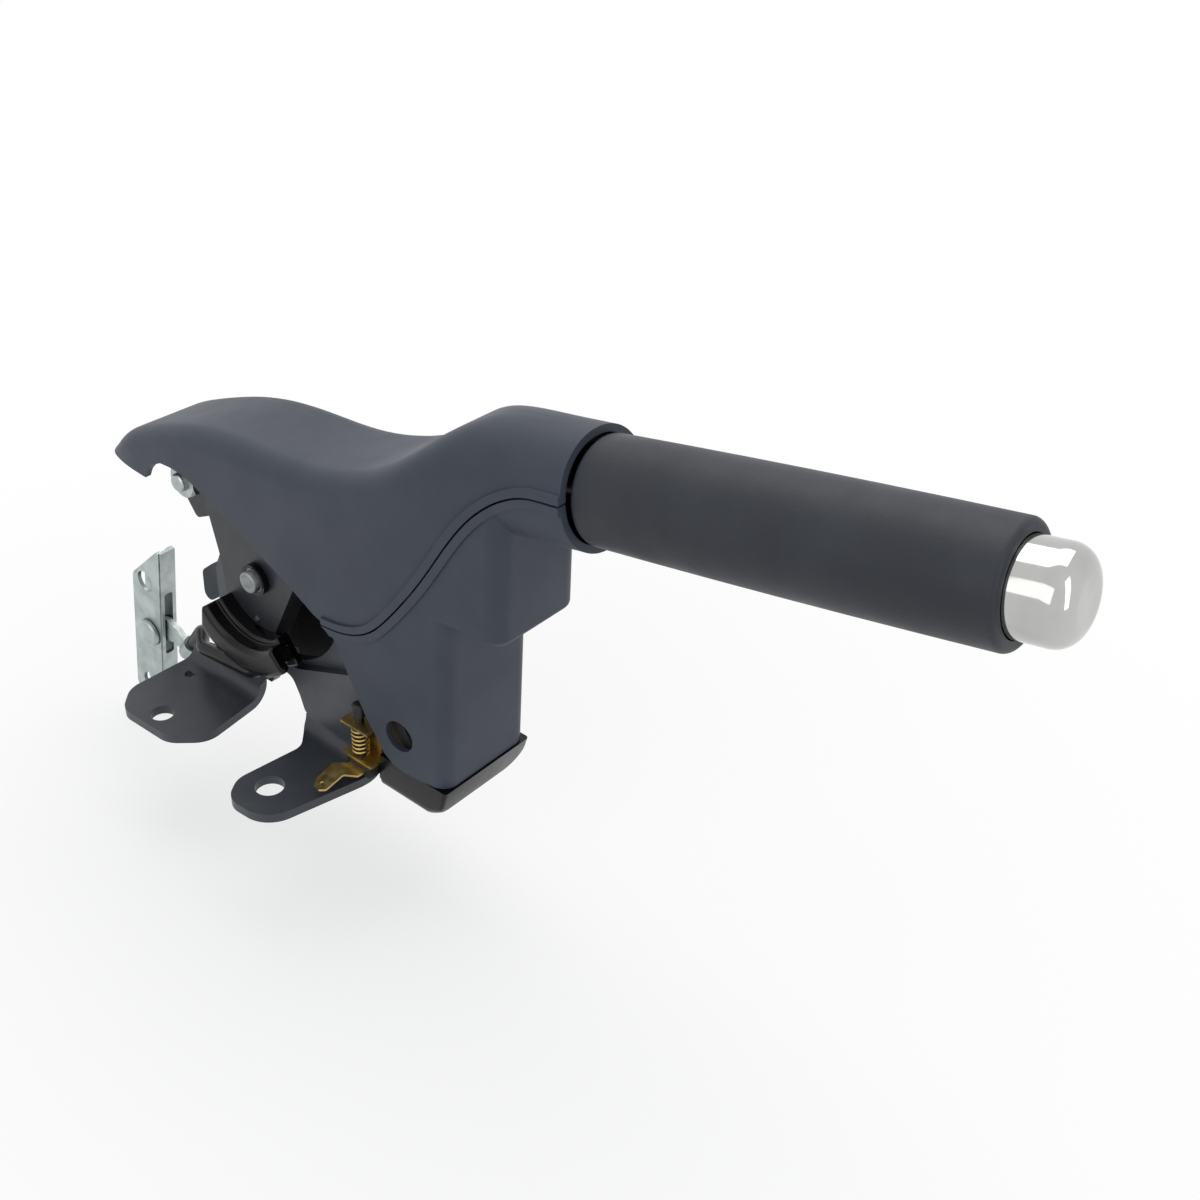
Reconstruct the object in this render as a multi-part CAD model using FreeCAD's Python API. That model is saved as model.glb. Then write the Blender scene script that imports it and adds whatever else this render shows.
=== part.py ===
import FreeCAD, Part
import math
import os

V = FreeCAD.Vector

# Parking brake lever at rest, in millimetres. The origin lies under the bracket's front web,
# on the lever's mid-plane. X runs to the release button, Z is up, the bolt feet lie at -Y.

# Lever pivot and travel
PIVOT_X = -60.0
PIVOT_Z = 60.0
PIN_R = 4.5

# Grip axis: a point on it, level with the mouth of the covers, and its rise
GRIP_X = 68.0
GRIP_Z = 138.5
GRIP_RISE = 10.43

# Fits
RUN_FIT = 0.05
GAP = 0.3
SEAM_GAP = 0.6

# Covers
WALL = 2.3
COVER_W = 22.0
BEAD_H = 0.9
BEAD_W = 2.6
MOUTH_L = 5.6
COLLAR_R = 18.2
CROWN = [(-143, 79.0), (-136, 85.6), (-128, 91.6), (-113, 98.4), (-95, 105.0), (-78, 109.1),
         (-60, 111.1), (-40, 112.5), (-25, 115.1), (-10, 119.9), (2, 125.7), (14, 134.6),
         (24, 142.9), (33, 148.6), (42, 152.1), (55, 154.6), (90, 160.6)]
SIDE = [(-143, 16.2), (-130, 19.2), (-110, 20.5), (-80, 21.5), (-40, COVER_W), (0, COVER_W),
        (11, 21.7), (21, 20.6), (33, 19.3), (50, COLLAR_R), (90, COLLAR_R)]
CORNER = [(-143, 5.0), (-128, 7.0), (-100, 8.0), (-20, 8.0), (0, 8.2), (14, 9.5), (24, 12.0),
          (33, 15.5), (43, COLLAR_R - 0.5), (90, COLLAR_R - 0.5)]
SEAM = [(-23.5, 59.8), (-13.5, 61.2), (-3.0, 65.6), (9.0, 77.5), (23.8, 98.5), (41.8, 125.7),
        (52.0, 134.7), (60.7, 139.2), (72.4, 141.2), (78.0, 142.0)]
BEAK_Z = 78.0
BEAK_REAR = -142.0
FRONT_TOP = 31.3
FRONT_BASE = 29.3
FRONT_R = 6.0
BULGE_X = 51.3
BULGE_Z = 82.2
COVER_BASE = 16.0
ACCESS_X = 10.4
ACCESS_Z = 30.5
ACCESS_R = 5.85

# Steel of the lever
FLANGE_T = 1.8
FLANGE_Y = 18.6
SADDLE_X = 30.0
FOLD_TOP = (-41.0, 64.6)
FOLD_MID = (-51.0, 45.0)
FOLD_DEPTH = 8.6
TUBE_R = 9.5
TUBE_WALL = 1.8
TUBE_REAR = -42.5
TUBE_END = 108.0
TAIL_Y = 8.1
TAIL_BOLT_X = -106.0
TAIL_BOLT_Z = 77.7
TAIL_BOLT_R = 3.5

# Grip and release button
GRIP_R = 16.0
GRIP_SWELL = 0.4
GRIP_START = 6.6
GRIP_END = 128.7
BUTTON_R = 12.35
BUTTON_END = 150.0
BUTTON_NOSE = 6.5
BUTTON_TRAVEL = 6.0
ROD_R = 2.0
ROD_REAR = -44.2
SPRING_WIRE = 0.6

# Floor bracket
PLATE = 3.5
CHEEK_Y = 16.5
TOWER_Y = 13.0
BEND_R = 5.0
WEB_FRONT = 22.5
WEB_REAR = -24.0
FRONT_BOLT = (-27.5, -47.0)
REAR_BOLT = (-86.5, -47.0)
FRONT_BOLT_R = 5.1
REAR_BOLT_R = 4.3
HUB_R = 12.4
WINDOW_R = 34.0

# Ratchet
SECTOR_Y = -0.7
SECTOR_T = 3.5
TOOTH_R = 51.2
TOOTH_H = 2.4
TOOTH_PITCH = 4.0
PAWL_X = -9.8
PAWL_Z = 89.0
PAWL_PIN_R = 3.0
PAWL_HUB_R = 5.4
PAWL_CLEAR = 0.9

# Cable guide, cable and equaliser
GUIDE_R = 33.0
GUIDE_ROOT = 23.0
GUIDE_FACE = 30.0
GUIDE_PLATE = 2.0
CABLE_R = 2.5
CABLE_BEND = 9.0
EQ_X = -139.5
EQ_Z = -3.0
EQ_TILT = 9.1
EQ_NEAR = -14.0
EQ_FAR = -7.0
EQ_T = 1.5
EQ_TOP = 43.5
EQ_BASE = -40.0
EQ_REAR = -10.0
EQ_FRONT = 7.3
EQ_HOLES = [(-2.2, 24.5), (-1.0, -28.0)]
EQ_HOLE_R = 4.5

# Warning lamp switch
SWITCH_X = -9.6
SWITCH_Y = -20.9
SWITCH_TOP = 25.5
SWITCH_BASE = 11.0
SWITCH_T = 1.0


def at_pivot(radius, degrees, y=0.0):
    """Point at a radius and angle about the lever pivot, 0 degrees towards the grip."""
    turn = math.radians(degrees)
    return V(PIVOT_X + radius * math.cos(turn), y, PIVOT_Z + radius * math.sin(turn))


def on_grip(length, height=0.0, y=0.0):
    """Point on the grip's own axes: along it from the mouth, above it and across it."""
    turn = math.radians(GRIP_RISE)
    x = GRIP_X + length * math.cos(turn) - height * math.sin(turn)
    z = GRIP_Z + length * math.sin(turn) + height * math.cos(turn)
    return V(x, y, z)


def grip_direction():
    """Unit vector from the covers to the release button."""
    turn = math.radians(GRIP_RISE)
    return V(math.cos(turn), 0, math.sin(turn))


def rounded_wire(corners, radii):
    """Closed wire through corners, each rounded by its own radius (0 keeps it sharp)."""
    edges = []
    starts = []
    ends = []
    count = len(corners)
    for i in range(count):
        here = corners[i]
        back = (corners[i - 1] - here).normalize()
        ahead = (corners[(i + 1) % count] - here).normalize()
        radius = radii[i] if isinstance(radii, (list, tuple)) else radii
        if radius <= 0:
            starts.append(here)
            ends.append(here)
            continue
        half = math.acos(max(-1.0, min(1.0, back.dot(ahead)))) / 2
        reach = radius / math.tan(half)
        starts.append(here + back * reach)
        ends.append(here + ahead * reach)
        inward = (back + ahead).normalize()
        middle = here + inward * (radius / math.sin(half) - radius)
        edges.append((i, Part.Arc(starts[i], middle, ends[i]).toShape()))
    ordered = []
    arcs = dict(edges)
    for i in range(count):
        if i in arcs:
            ordered.append(arcs[i])
        following = starts[(i + 1) % count]
        if ends[i].distanceToPoint(following) > 1e-6:
            ordered.append(Part.makeLine(ends[i], following))
    return Part.Wire(ordered)


def side_plate(points, y_from, y_to, radii=0.0):
    """Plate parallel to the mid-plane, its outline given as (x, z) corners."""
    corners = [V(x, y_from, z) for x, z in points]
    face = Part.Face(rounded_wire(corners, radii))
    return face.extrude(V(0, y_to - y_from, 0))


def floor_plate(points, z_from, z_to, radii=0.0):
    """Plate parallel to the floor, its outline given as (x, y) corners."""
    corners = [V(x, y, z_from) for x, y in points]
    face = Part.Face(rounded_wire(corners, radii))
    return face.extrude(V(0, 0, z_to - z_from))


def cross_rod(x, z, radius, y_from, y_to):
    """Round bar across the lever."""
    return Part.makeCylinder(radius, y_to - y_from, V(x, y_from, z), V(0, 1, 0))


def block(x0, x1, y0, y1, z0, z1):
    """Box between two corners."""
    return Part.makeBox(x1 - x0, y1 - y0, z1 - z0, V(x0, y0, z0))


def on_grip_revolve(profile):
    """Turned piece about the grip axis from (length, radius) points."""
    corners = [on_grip(length, radius) for length, radius in profile]
    face = Part.Face(Part.makePolygon(corners + [corners[0]]))
    return face.revolve(on_grip(0), grip_direction(), 360)


def mirrored(shape):
    """The same shape on the far side of the mid-plane."""
    return shape.mirror(V(0, 0, 0), V(0, 1, 0))


def both_sides(shape):
    """The shape and its mirror image as one."""
    return shape.fuse(mirrored(shape))


def at_x(profile, x):
    """Smooth value of a profile at x, with slopes that never overshoot."""
    for i in range(len(profile) - 1):
        if x <= profile[i + 1][0]:
            break
    x0, v0 = profile[i]
    x1, v1 = profile[i + 1]
    before = profile[max(i - 1, 0)]
    after = profile[min(i + 2, len(profile) - 1)]
    slope0 = (v1 - before[1]) / (x1 - before[0])
    slope1 = (after[1] - v0) / (after[0] - x0)
    width = x1 - x0
    t = (x - x0) / width
    h00 = 2 * t ** 3 - 3 * t ** 2 + 1
    h10 = t ** 3 - 2 * t ** 2 + t
    h01 = 3 * t ** 2 - 2 * t ** 3
    h11 = t ** 3 - t ** 2
    return h00 * v0 + h10 * width * slope0 + h01 * v1 + h11 * width * slope1


def upper_section(x, inset, base):
    """Cross-section of the upper cover's form: straight sides and a round-cornered crown."""
    half = at_x(SIDE, x) - inset
    top = at_x(CROWN, x) - inset
    corner = max(min(at_x(CORNER, x) - inset, half - 0.4), 0.8)
    slant = corner * math.sqrt(0.5)
    left = V(x, -half, top - corner)
    right = V(x, half, top - corner)
    left_top = V(x, -half + corner, top)
    right_top = V(x, half - corner, top)
    left_mid = V(x, -half + corner - slant, top - corner + slant)
    right_mid = V(x, half - corner + slant, top - corner + slant)
    return Part.Wire([
        Part.makeLine(V(x, -half, base), left),
        Part.Arc(left, left_mid, left_top).toShape(),
        Part.makeLine(left_top, right_top),
        Part.Arc(right_top, right_mid, right).toShape(),
        Part.makeLine(right, V(x, half, base)),
        Part.makeLine(V(x, half, base), V(x, -half, base))])


def upper_form(inset, rear, base):
    """Solid form of the upper cover, made smaller all round by the inset."""
    stations = [rear, -136, -130, -120, -108, -94, -78, -60, -42, -28, -14, -3, 8, 18, 27, 35,
                44, 56, 70, 86]
    sections = [upper_section(x, inset, base) for x in stations]
    return Part.makeLoft(sections, True, False)


def seam_line(offset):
    """Points of the seam moved square to itself; a positive offset lies on the upper cover."""
    spline = Part.BSplineCurve()
    spline.interpolate([V(x, 0, z) for x, z in SEAM])
    points = []
    count = 16
    for i in range(count + 1):
        share = i / count
        value = spline.FirstParameter + share * (spline.LastParameter - spline.FirstParameter)
        along = spline.tangent(value)[0]
        place = spline.value(value)
        points.append(V(place.x - along.z * offset, 0, place.z + along.x * offset))
    return points


def seam_spline(offset, y):
    """Smooth curve along the seam in the plane at y."""
    spline = Part.BSplineCurve()
    spline.interpolate([V(p.x, y, p.z) for p in seam_line(offset)])
    return spline


def seam_region(offset, closing, y=-40.0):
    """Thick slab bounded by the seam curve on one side and by closing corners on the other."""
    spline = seam_spline(offset, y)
    edges = [spline.toShape()]
    corners = [spline.value(spline.LastParameter)]
    corners += [V(x, y, z) for x, z in closing]
    corners.append(spline.value(spline.FirstParameter))
    for start, end in zip(corners[:-1], corners[1:]):
        edges.append(Part.makeLine(start, end))
    return Part.Face(Part.Wire(edges)).extrude(V(0, -2 * y, 0))


def seam_band(inner, outer):
    """Slab that follows the seam between two offsets."""
    y = -40.0
    low = seam_spline(inner, y)
    high = seam_spline(outer, y)
    start = Part.makeLine(high.value(high.FirstParameter), low.value(low.FirstParameter))
    end = Part.makeLine(low.value(low.LastParameter), high.value(high.LastParameter))
    wire = Part.Wire([start, low.toShape(), end, high.toShape()])
    return Part.Face(wire).extrude(V(0, -2 * y, 0))


def beyond_mouth():
    """Everything in front of the mouth, cut square to the grip axis."""
    corner = on_grip(MOUTH_L, -60, -60)
    box = Part.makeBox(60, 120, 120)
    box.rotate(V(0, 0, 0), V(0, 1, 0), -GRIP_RISE)
    box.translate(corner)
    return box


def upper_cover():
    """Upper cover: arched shell with a beak over the cable end and a hook notch."""
    half_gap = SEAM_GAP / 2
    region = seam_region(half_gap, [
        (90, 175), (-150, 175), (-150, BEAK_Z), (-117.0, BEAK_Z), (-115.0, 81.6),
        (-111.5, 85.2), (-106.0, 88.0), (-100.0, 88.6), (-92.0, 88.4), (-74.0, 81.9),
        (-56.8, 74.9), (-39.5, 67.4), (-28.0, 61.4)])
    outer = upper_form(0.0, BEAK_REAR, 30.0)
    bead = upper_form(-BEAD_H, BEAK_REAR, 30.0).common(seam_band(half_gap, half_gap + BEAD_W))
    inner = upper_form(WALL, BEAK_REAR + WALL, 20.0)
    shell = outer.fuse(bead).cut(inner).common(region)
    shell = shell.cut(beyond_mouth())
    pads = both_sides(cross_rod(-66.0, 93.0, 5.0, -21.0, -FLANGE_Y))
    pads = pads.fuse(both_sides(cross_rod(-22.0, 92.0, 5.0, -21.0, -FLANGE_Y)))
    return shell.fuse(pads).removeSplitter()


def plan_outline(front, inset, z):
    """Plan of the lower cover: sides that follow the upper cover, rounded front corners."""
    corner = max(FRONT_R - inset, 1.0)
    front_x = front - inset
    count = 6
    rear_x = -46.0
    spread = []
    for i in range(count + 1):
        x = rear_x + (front_x - corner - rear_x) * i / count
        spread.append((x, at_x(SIDE, x) - inset))
    half = spread[-1][1]
    slant = corner * math.sqrt(0.5)
    near = Part.BSplineCurve()
    near.interpolate([V(x, -w, z) for x, w in spread])
    far = Part.BSplineCurve()
    far.interpolate([V(x, w, z) for x, w in reversed(spread)])
    side = front_x - corner
    near_arc = Part.Arc(V(side, -half, z), V(side + slant, -half + corner - slant, z),
                        V(front_x, -half + corner, z))
    far_arc = Part.Arc(V(front_x, half - corner, z), V(side + slant, half - corner + slant, z),
                       V(side, half, z))
    face_line = Part.makeLine(V(front_x, -half + corner, z), V(front_x, half - corner, z))
    rear_line = Part.makeLine(V(rear_x, spread[0][1], z), V(rear_x, -spread[0][1], z))
    return Part.Wire([near.toShape(), near_arc.toShape(), face_line, far_arc.toShape(),
                      far.toShape(), rear_line])


def lower_form(inset):
    """Solid form of the lower cover: drafted column, front bulge and half round collar."""
    base = -2.0 if inset > 0 else 4.0
    column = Part.makeLoft([plan_outline(FRONT_BASE, inset, base),
                            plan_outline(FRONT_TOP, inset, BULGE_Z + 14)], True, True)
    floor = BULGE_Z + inset
    bulge = Part.Face(plan_outline(BULGE_X, inset, floor)).extrude(V(0, 0, 149 - floor))
    collar = Part.makeCylinder(COLLAR_R - inset, 40, on_grip(-29), grip_direction())
    if inset <= 0:
        front_edges = [e for e in bulge.Edges
                       if e.BoundBox.ZMax < floor + 0.1 and e.BoundBox.XMin > 34]
        bulge = bulge.makeFillet(2.5, front_edges)
    return column.fuse([bulge, collar])


def lower_cover():
    """Lower cover: column over the bracket with a round access hole in its near wall."""
    half_gap = SEAM_GAP / 2
    region = seam_region(-half_gap, [
        (90, 130), (90, COVER_BASE), (11.5, COVER_BASE), (7.0, 17.0), (3.0, 19.8),
        (-4.9, 30.7), (-12.6, 44.7), (-17.0, 54.0), (-20.5, 58.0)])
    bead = lower_form(-BEAD_H).common(seam_band(-half_gap - BEAD_W, -half_gap))
    shell = lower_form(0.0).fuse(bead).cut(lower_form(WALL)).common(region)
    shell = shell.cut(beyond_mouth())
    shell = shell.cut(cross_rod(ACCESS_X, ACCESS_Z, ACCESS_R, -40, 0))
    pads = both_sides(cross_rod(3.0, 62.5, 4.0, -21.0, -FLANGE_Y))
    return shell.fuse(pads).removeSplitter()


def fold_bottom():
    """Lower end of the folded front edge, just inside the bracket's window."""
    dx = FOLD_MID[0] - FOLD_TOP[0]
    dz = FOLD_MID[1] - FOLD_TOP[1]
    length = math.hypot(dx, dz)
    reach = 38.5
    return (FOLD_TOP[0] + dx / length * reach, FOLD_TOP[1] + dz / length * reach)


def lever_channel():
    """Pressed side plates of the lever, each with its front edge folded inwards."""
    inner = FLANGE_Y - FLANGE_T
    low_x, low_z = fold_bottom()
    outline = [(-84.5, 76.5), (-80.5, 60.5), (-79.0, 46.0), (-73.0, 34.5), (-65.0, 29.0),
               (low_x, low_z), FOLD_TOP, (-28.0, 72.0), (-12.0, 67.0), (-4.0, 57.0), (9.0, 57.0),
               (12.5, 92.0), (6.0, 106.0), (-14.0, 103.0), (-40.0, 101.0), (-78.0, 98.0), (-88.0, 92.0)]
    radii = [3, 20, 12, 10, 3, 0, 0, 6, 4, 3, 4, 6, 8, 8, 20, 8, 6]
    plate = side_plate(outline, -FLANGE_Y, -inner, radii)
    dx = FOLD_TOP[0] - low_x
    dz = FOLD_TOP[1] - low_z
    length = math.hypot(dx, dz)
    back_x = -dz / length * FLANGE_T
    back_z = dx / length * FLANGE_T
    fold = side_plate([(low_x, low_z), FOLD_TOP, (FOLD_TOP[0] + back_x, FOLD_TOP[1] + back_z),
                       (low_x + back_x, low_z + back_z)], -FLANGE_Y, -FLANGE_Y + FOLD_DEPTH)
    sides = both_sides(plate.fuse(fold))
    bridge = block(-84, -44, -FLANGE_Y + 0.5, FLANGE_Y - 0.5, 95.5, 97.0)
    dimple = Part.makeSphere(1.6, V(-62.9, -FLANGE_Y + 0.6, 41.4))
    holes = cross_rod(PIVOT_X, PIVOT_Z, PIN_R + RUN_FIT, -30, 30)
    holes = holes.fuse(cross_rod(PAWL_X, PAWL_Z, PAWL_PIN_R, -30, 30))
    return sides.fuse([bridge, dimple]).cut(holes).removeSplitter()


def tail_channel():
    """Narrow rear tail inside the side plates, which carries the cross bolt."""
    outline = [(-115.0, 76.5), (-112.0, 68.0), (-106.5, 60.5), (-97.5, 65.0), (-86.0, 74.0),
               (-64.0, 80.0), (-64.0, 94.0), (-96.0, 92.0), (-112.0, 88.0)]
    plate = side_plate(outline, -TAIL_Y, -TAIL_Y + FLANGE_T, [3, 2, 2, 4, 4, 0, 0, 4, 4])
    hole = cross_rod(TAIL_BOLT_X, TAIL_BOLT_Z, TAIL_BOLT_R + RUN_FIT, -30, 30)
    web = block(-90, -62, -TAIL_Y, TAIL_Y, 92.0, 95.5)
    return both_sides(plate).cut(hole).fuse(web).removeSplitter()


def hexagon(x, z, across, y_from, y_to):
    """Hexagonal prism along Y."""
    reach = across / math.sqrt(3)
    points = []
    for i in range(6):
        turn = math.radians(60 * i + 30)
        points.append((x + reach * math.cos(turn), z + reach * math.sin(turn)))
    return side_plate(points, y_from, y_to)


def chamfer_ends(x, z, radius, y_from, y_to, bevel):
    """Round bar whose two end edges are bevelled."""
    bar = cross_rod(x, z, radius, y_from, y_to)
    ends = [e for e in bar.Edges if e.BoundBox.YLength < 1e-6]
    return bar.makeChamfer(bevel, ends)


def tail_bolt():
    """Cross bolt of the tail with its head on the far side."""
    shank = chamfer_ends(TAIL_BOLT_X, TAIL_BOLT_Z, TAIL_BOLT_R, -TAIL_Y - 7.2, TAIL_Y, 0.5)
    head = hexagon(TAIL_BOLT_X, TAIL_BOLT_Z, 12.0, TAIL_Y, TAIL_Y + 4.5)
    return shank.fuse(head)


def tail_nut():
    """Hexagon nut of the cross bolt."""
    body = hexagon(TAIL_BOLT_X, TAIL_BOLT_Z, 12.5, -TAIL_Y - 5.0, -TAIL_Y)
    dome = cross_rod(TAIL_BOLT_X, TAIL_BOLT_Z, 7.1, -TAIL_Y - 5.0, -TAIL_Y)
    rims = [e for e in dome.Edges if e.BoundBox.YMax < -TAIL_Y - 4.9]
    dome = dome.makeChamfer(1.0, rims)
    bore = cross_rod(TAIL_BOLT_X, TAIL_BOLT_Z, TAIL_BOLT_R + RUN_FIT, -30, 0)
    return body.common(dome).cut(bore)


def tube_saddle():
    """Two front plates and a yoke that hold the grip tube between the side plates."""
    outer = FLANGE_Y - FLANGE_T
    outline = [(-17.0, 82.0), (-6.0, 78.0), (8.0, 86.0), (SADDLE_X, 112.0), (SADDLE_X, 126.0),
               (20.0, 126.0), (2.0, 112.0), (-14.0, 100.0)]
    plates = both_sides(side_plate(outline, -outer, -outer + FLANGE_T, 3))
    width = outer - 0.2
    start = on_grip(-44.0, -20.0, -width)
    yoke = Part.makeBox(4.0, 2 * width, 26.0)
    yoke.rotate(V(0, 0, 0), V(0, 1, 0), -GRIP_RISE)
    yoke.translate(start)
    keep = block(0, 60, -12.0, 12.0, 100, 141).fuse(block(0, 60, -30, 30, 100, 129))
    yoke = yoke.common(keep)
    bore = Part.makeCylinder(TUBE_R, 40, on_grip(-60), grip_direction())
    pin = cross_rod(PAWL_X, PAWL_Z, PAWL_PIN_R, -30, 30)
    return plates.fuse(yoke).cut(bore).cut(pin).removeSplitter()


def lever_tube():
    """Steel tube inside the grip."""
    return on_grip_revolve([(TUBE_REAR, TUBE_R - TUBE_WALL), (TUBE_REAR, TUBE_R),
                            (TUBE_END, TUBE_R), (TUBE_END, TUBE_R - TUBE_WALL)])


def grip_sleeve():
    """Soft grip sleeve: slightly swollen, with rounded ends and a counterbore for the button."""
    bore = TUBE_R + RUN_FIT
    pocket = BUTTON_R + GAP
    middle = (GRIP_START + GRIP_END) / 2
    outer = Part.Arc(on_grip(GRIP_START + 2.0, GRIP_R), on_grip(middle, GRIP_R + GRIP_SWELL),
                     on_grip(GRIP_END - 2.0, GRIP_R))
    rear = on_grip(GRIP_START, GRIP_R - 2.0)
    rear_mid = on_grip(GRIP_START + 0.6, GRIP_R - 0.6)
    front = on_grip(GRIP_END, GRIP_R - 2.0)
    front_mid = on_grip(GRIP_END - 0.6, GRIP_R - 0.6)
    edges = [
        Part.makeLine(on_grip(GRIP_START, bore), rear),
        Part.Arc(rear, rear_mid, on_grip(GRIP_START + 2.0, GRIP_R)).toShape(),
        outer.toShape(),
        Part.Arc(on_grip(GRIP_END - 2.0, GRIP_R), front_mid, front).toShape(),
        Part.makeLine(front, on_grip(GRIP_END, pocket)),
        Part.makeLine(on_grip(GRIP_END, pocket), on_grip(TUBE_END, pocket)),
        Part.makeLine(on_grip(TUBE_END, pocket), on_grip(TUBE_END, bore)),
        Part.makeLine(on_grip(TUBE_END, bore), on_grip(GRIP_START, bore))]
    return Part.Face(Part.Wire(edges)).revolve(on_grip(0), grip_direction(), 360)


def release_button():
    """Release button: round-nosed cap with a skirt that slides in the grip's end."""
    skirt_start = GRIP_END - BUTTON_TRAVEL - 2.5
    hollow = BUTTON_R - 2.0
    roof = BUTTON_END - 9.0
    nose_start = BUTTON_END - BUTTON_NOSE
    nose_mid = BUTTON_NOSE * math.sqrt(0.5)
    arc = Part.Arc(on_grip(nose_start, BUTTON_R),
                   on_grip(nose_start + nose_mid, BUTTON_R - BUTTON_NOSE + nose_mid),
                   on_grip(BUTTON_END, BUTTON_R - BUTTON_NOSE))
    line_points = [(BUTTON_END, BUTTON_R - BUTTON_NOSE), (BUTTON_END, 0), (roof, 0),
                   (roof, hollow), (skirt_start, hollow), (skirt_start, BUTTON_R),
                   (nose_start, BUTTON_R)]
    edges = [arc.toShape()]
    for start, end in zip(line_points[:-1], line_points[1:]):
        edges.append(Part.makeLine(on_grip(*start), on_grip(*end)))
    return Part.Face(Part.Wire(edges)).revolve(on_grip(0), grip_direction(), 360)


def release_rod():
    """Rod from the button's roof to the pawl, with a flat head that seats in the button."""
    roof = BUTTON_END - 9.0
    rod = on_grip_revolve([(ROD_REAR, 0), (ROD_REAR, ROD_R), (roof - 2.5, ROD_R),
                           (roof - 2.5, 4.2), (roof, 4.2), (roof, 0)])
    return rod


def rod_guide(start):
    """Plastic bush that keeps the rod central in the tube."""
    fit = TUBE_R - TUBE_WALL - RUN_FIT
    return on_grip_revolve([(start, ROD_R + RUN_FIT), (start, fit), (start + 8.0, fit),
                            (start + 8.0, ROD_R + RUN_FIT)])


def coil(radius, wire_r, pitch, height, place, direction):
    """Helical spring standing on a place, drawn with flats along and round its wire."""
    steps = int(round(14 * height / pitch))
    slope = pitch / (2 * math.pi * radius)
    sections = []
    for i in range(steps + 1):
        turn = 2 * math.pi * (height / pitch) * i / steps
        out = V(math.cos(turn), math.sin(turn), 0)
        up = V(slope * math.sin(turn), -slope * math.cos(turn), 1).normalize()
        middle = out * radius + V(0, 0, height * i / steps)
        corners = []
        for side in range(7):
            angle = math.radians(60 * side)
            corners.append(middle + out * (wire_r * math.cos(angle))
                           + up * (wire_r * math.sin(angle)))
        sections.append(Part.makePolygon(corners))
    spring = Part.makeLoft(sections, True, True)
    spring.Placement = FreeCAD.Placement(place, FreeCAD.Rotation(V(0, 0, 1), direction))
    return spring


def button_spring():
    """Return spring between the front bush and the button's roof."""
    seat = 104.0
    roof = BUTTON_END - 9.0
    height = roof - 2.5 - seat - 2 * SPRING_WIRE - 0.1
    place = on_grip(seat + SPRING_WIRE + 0.05)
    return coil(3.4, SPRING_WIRE, 4.2, height, place, grip_direction())


def pawl():
    """Pawl: hub on its pin, a nose above the ratchet teeth and an arm up to the rod."""
    near = SECTOR_Y - SECTOR_T
    tip = at_pivot(TOOTH_R + PAWL_CLEAR, 8.0)
    shoulder = at_pivot(TOOTH_R + 8.0, 10.5)
    inner = at_pivot(TOOTH_R + 3.2, 16.0)
    nose = side_plate([(tip.x, tip.z), (shoulder.x, shoulder.z), (PAWL_X + 5.0, PAWL_Z - 2.0),
                       (PAWL_X - 3.0, PAWL_Z - 3.0), (inner.x, inner.z)], near, SECTOR_Y)
    arm = side_plate([(PAWL_X + 5.0, PAWL_Z - 2.0), (22.0, 121.0), (22.0, 128.4),
                      (20.6, 129.2), (17.5, 125.5), (PAWL_X - 4.8, PAWL_Z + 2.4)],
                     near, SECTOR_Y, [0, 3, 0.6, 0.6, 2, 0])
    hub = cross_rod(PAWL_X, PAWL_Z, PAWL_HUB_R, near - 2.0, SECTOR_Y + 2.0)
    bore = cross_rod(PAWL_X, PAWL_Z, PAWL_PIN_R + RUN_FIT, -30, 30)
    return hub.fuse([nose, arm]).cut(bore).removeSplitter()


def pawl_pin():
    """Pin of the pawl, flush with both side plates."""
    return chamfer_ends(PAWL_X, PAWL_Z, PAWL_PIN_R - 0.02, -FLANGE_Y, FLANGE_Y, 0.4)


def pawl_spacer(near_side):
    """Tube on the pawl pin that keeps the pawl over the ratchet."""
    wide = FLANGE_Y - 2 * FLANGE_T
    near = SECTOR_Y - SECTOR_T - 2.0
    far = SECTOR_Y + 2.0
    start, end = (-wide, near - GAP) if near_side else (far + GAP, wide)
    sleeve = cross_rod(PAWL_X, PAWL_Z, PAWL_PIN_R + 1.4, start, end)
    return sleeve.cut(cross_rod(PAWL_X, PAWL_Z, PAWL_PIN_R, start, end))


def pawl_spring():
    """Torsion spring round the far spacer with one leg under the bridge plate."""
    start = SECTOR_Y + 2.0 + 1.4
    spring = coil(5.6, 0.5, 1.3, 5.2, V(PAWL_X, start, PAWL_Z), V(0, 1, 0))
    return spring


def ratchet_sector():
    """Toothed sector plate on the pivot bush, standing on the bracket's web."""
    near = SECTOR_Y - SECTOR_T
    foot = PLATE
    body = side_plate([(-103.0, 26.0), (-114.0, 17.5), (-113.5, 33.0), (-107.0, 38.5),
                       (-97.0, 46.0), (-78.0, 68.0), (-66.0, 74.5), (-50.0, 74.0),
                       (-30.0, 66.0), (-22.0, 36.0), (14.0, 12.0), (14.0, foot), (-20.0, foot),
                       (-24.0, 24.0), (-30.0, 44.0), (-44.0, 52.0), (-62.0, 50.0),
                       (-74.0, 48.0)], near, SECTOR_Y,
                      [6, 3, 5, 4, 6, 10, 6, 6, 0, 4, 3, 0, 0, 4, 5, 6, 8, 8])
    first = -12.0
    last = 44.0
    count = int((last - first) / TOOTH_PITCH)
    points = [at_pivot(18.0, first)]
    for i in range(count):
        angle = first + i * TOOTH_PITCH
        root = at_pivot(TOOTH_R - TOOTH_H, angle)
        crest = at_pivot(TOOTH_R, angle + 0.75 * TOOTH_PITCH)
        points += [root, crest]
    points.append(at_pivot(TOOTH_R - TOOTH_H, last))
    points.append(at_pivot(18.0, last))
    rim = side_plate([(p.x, p.z) for p in points], near, SECTOR_Y)
    bore = cross_rod(PIVOT_X, PIVOT_Z, PIN_R + 2.5, near, SECTOR_Y)
    return body.fuse(rim).cut(bore).removeSplitter()


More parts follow.
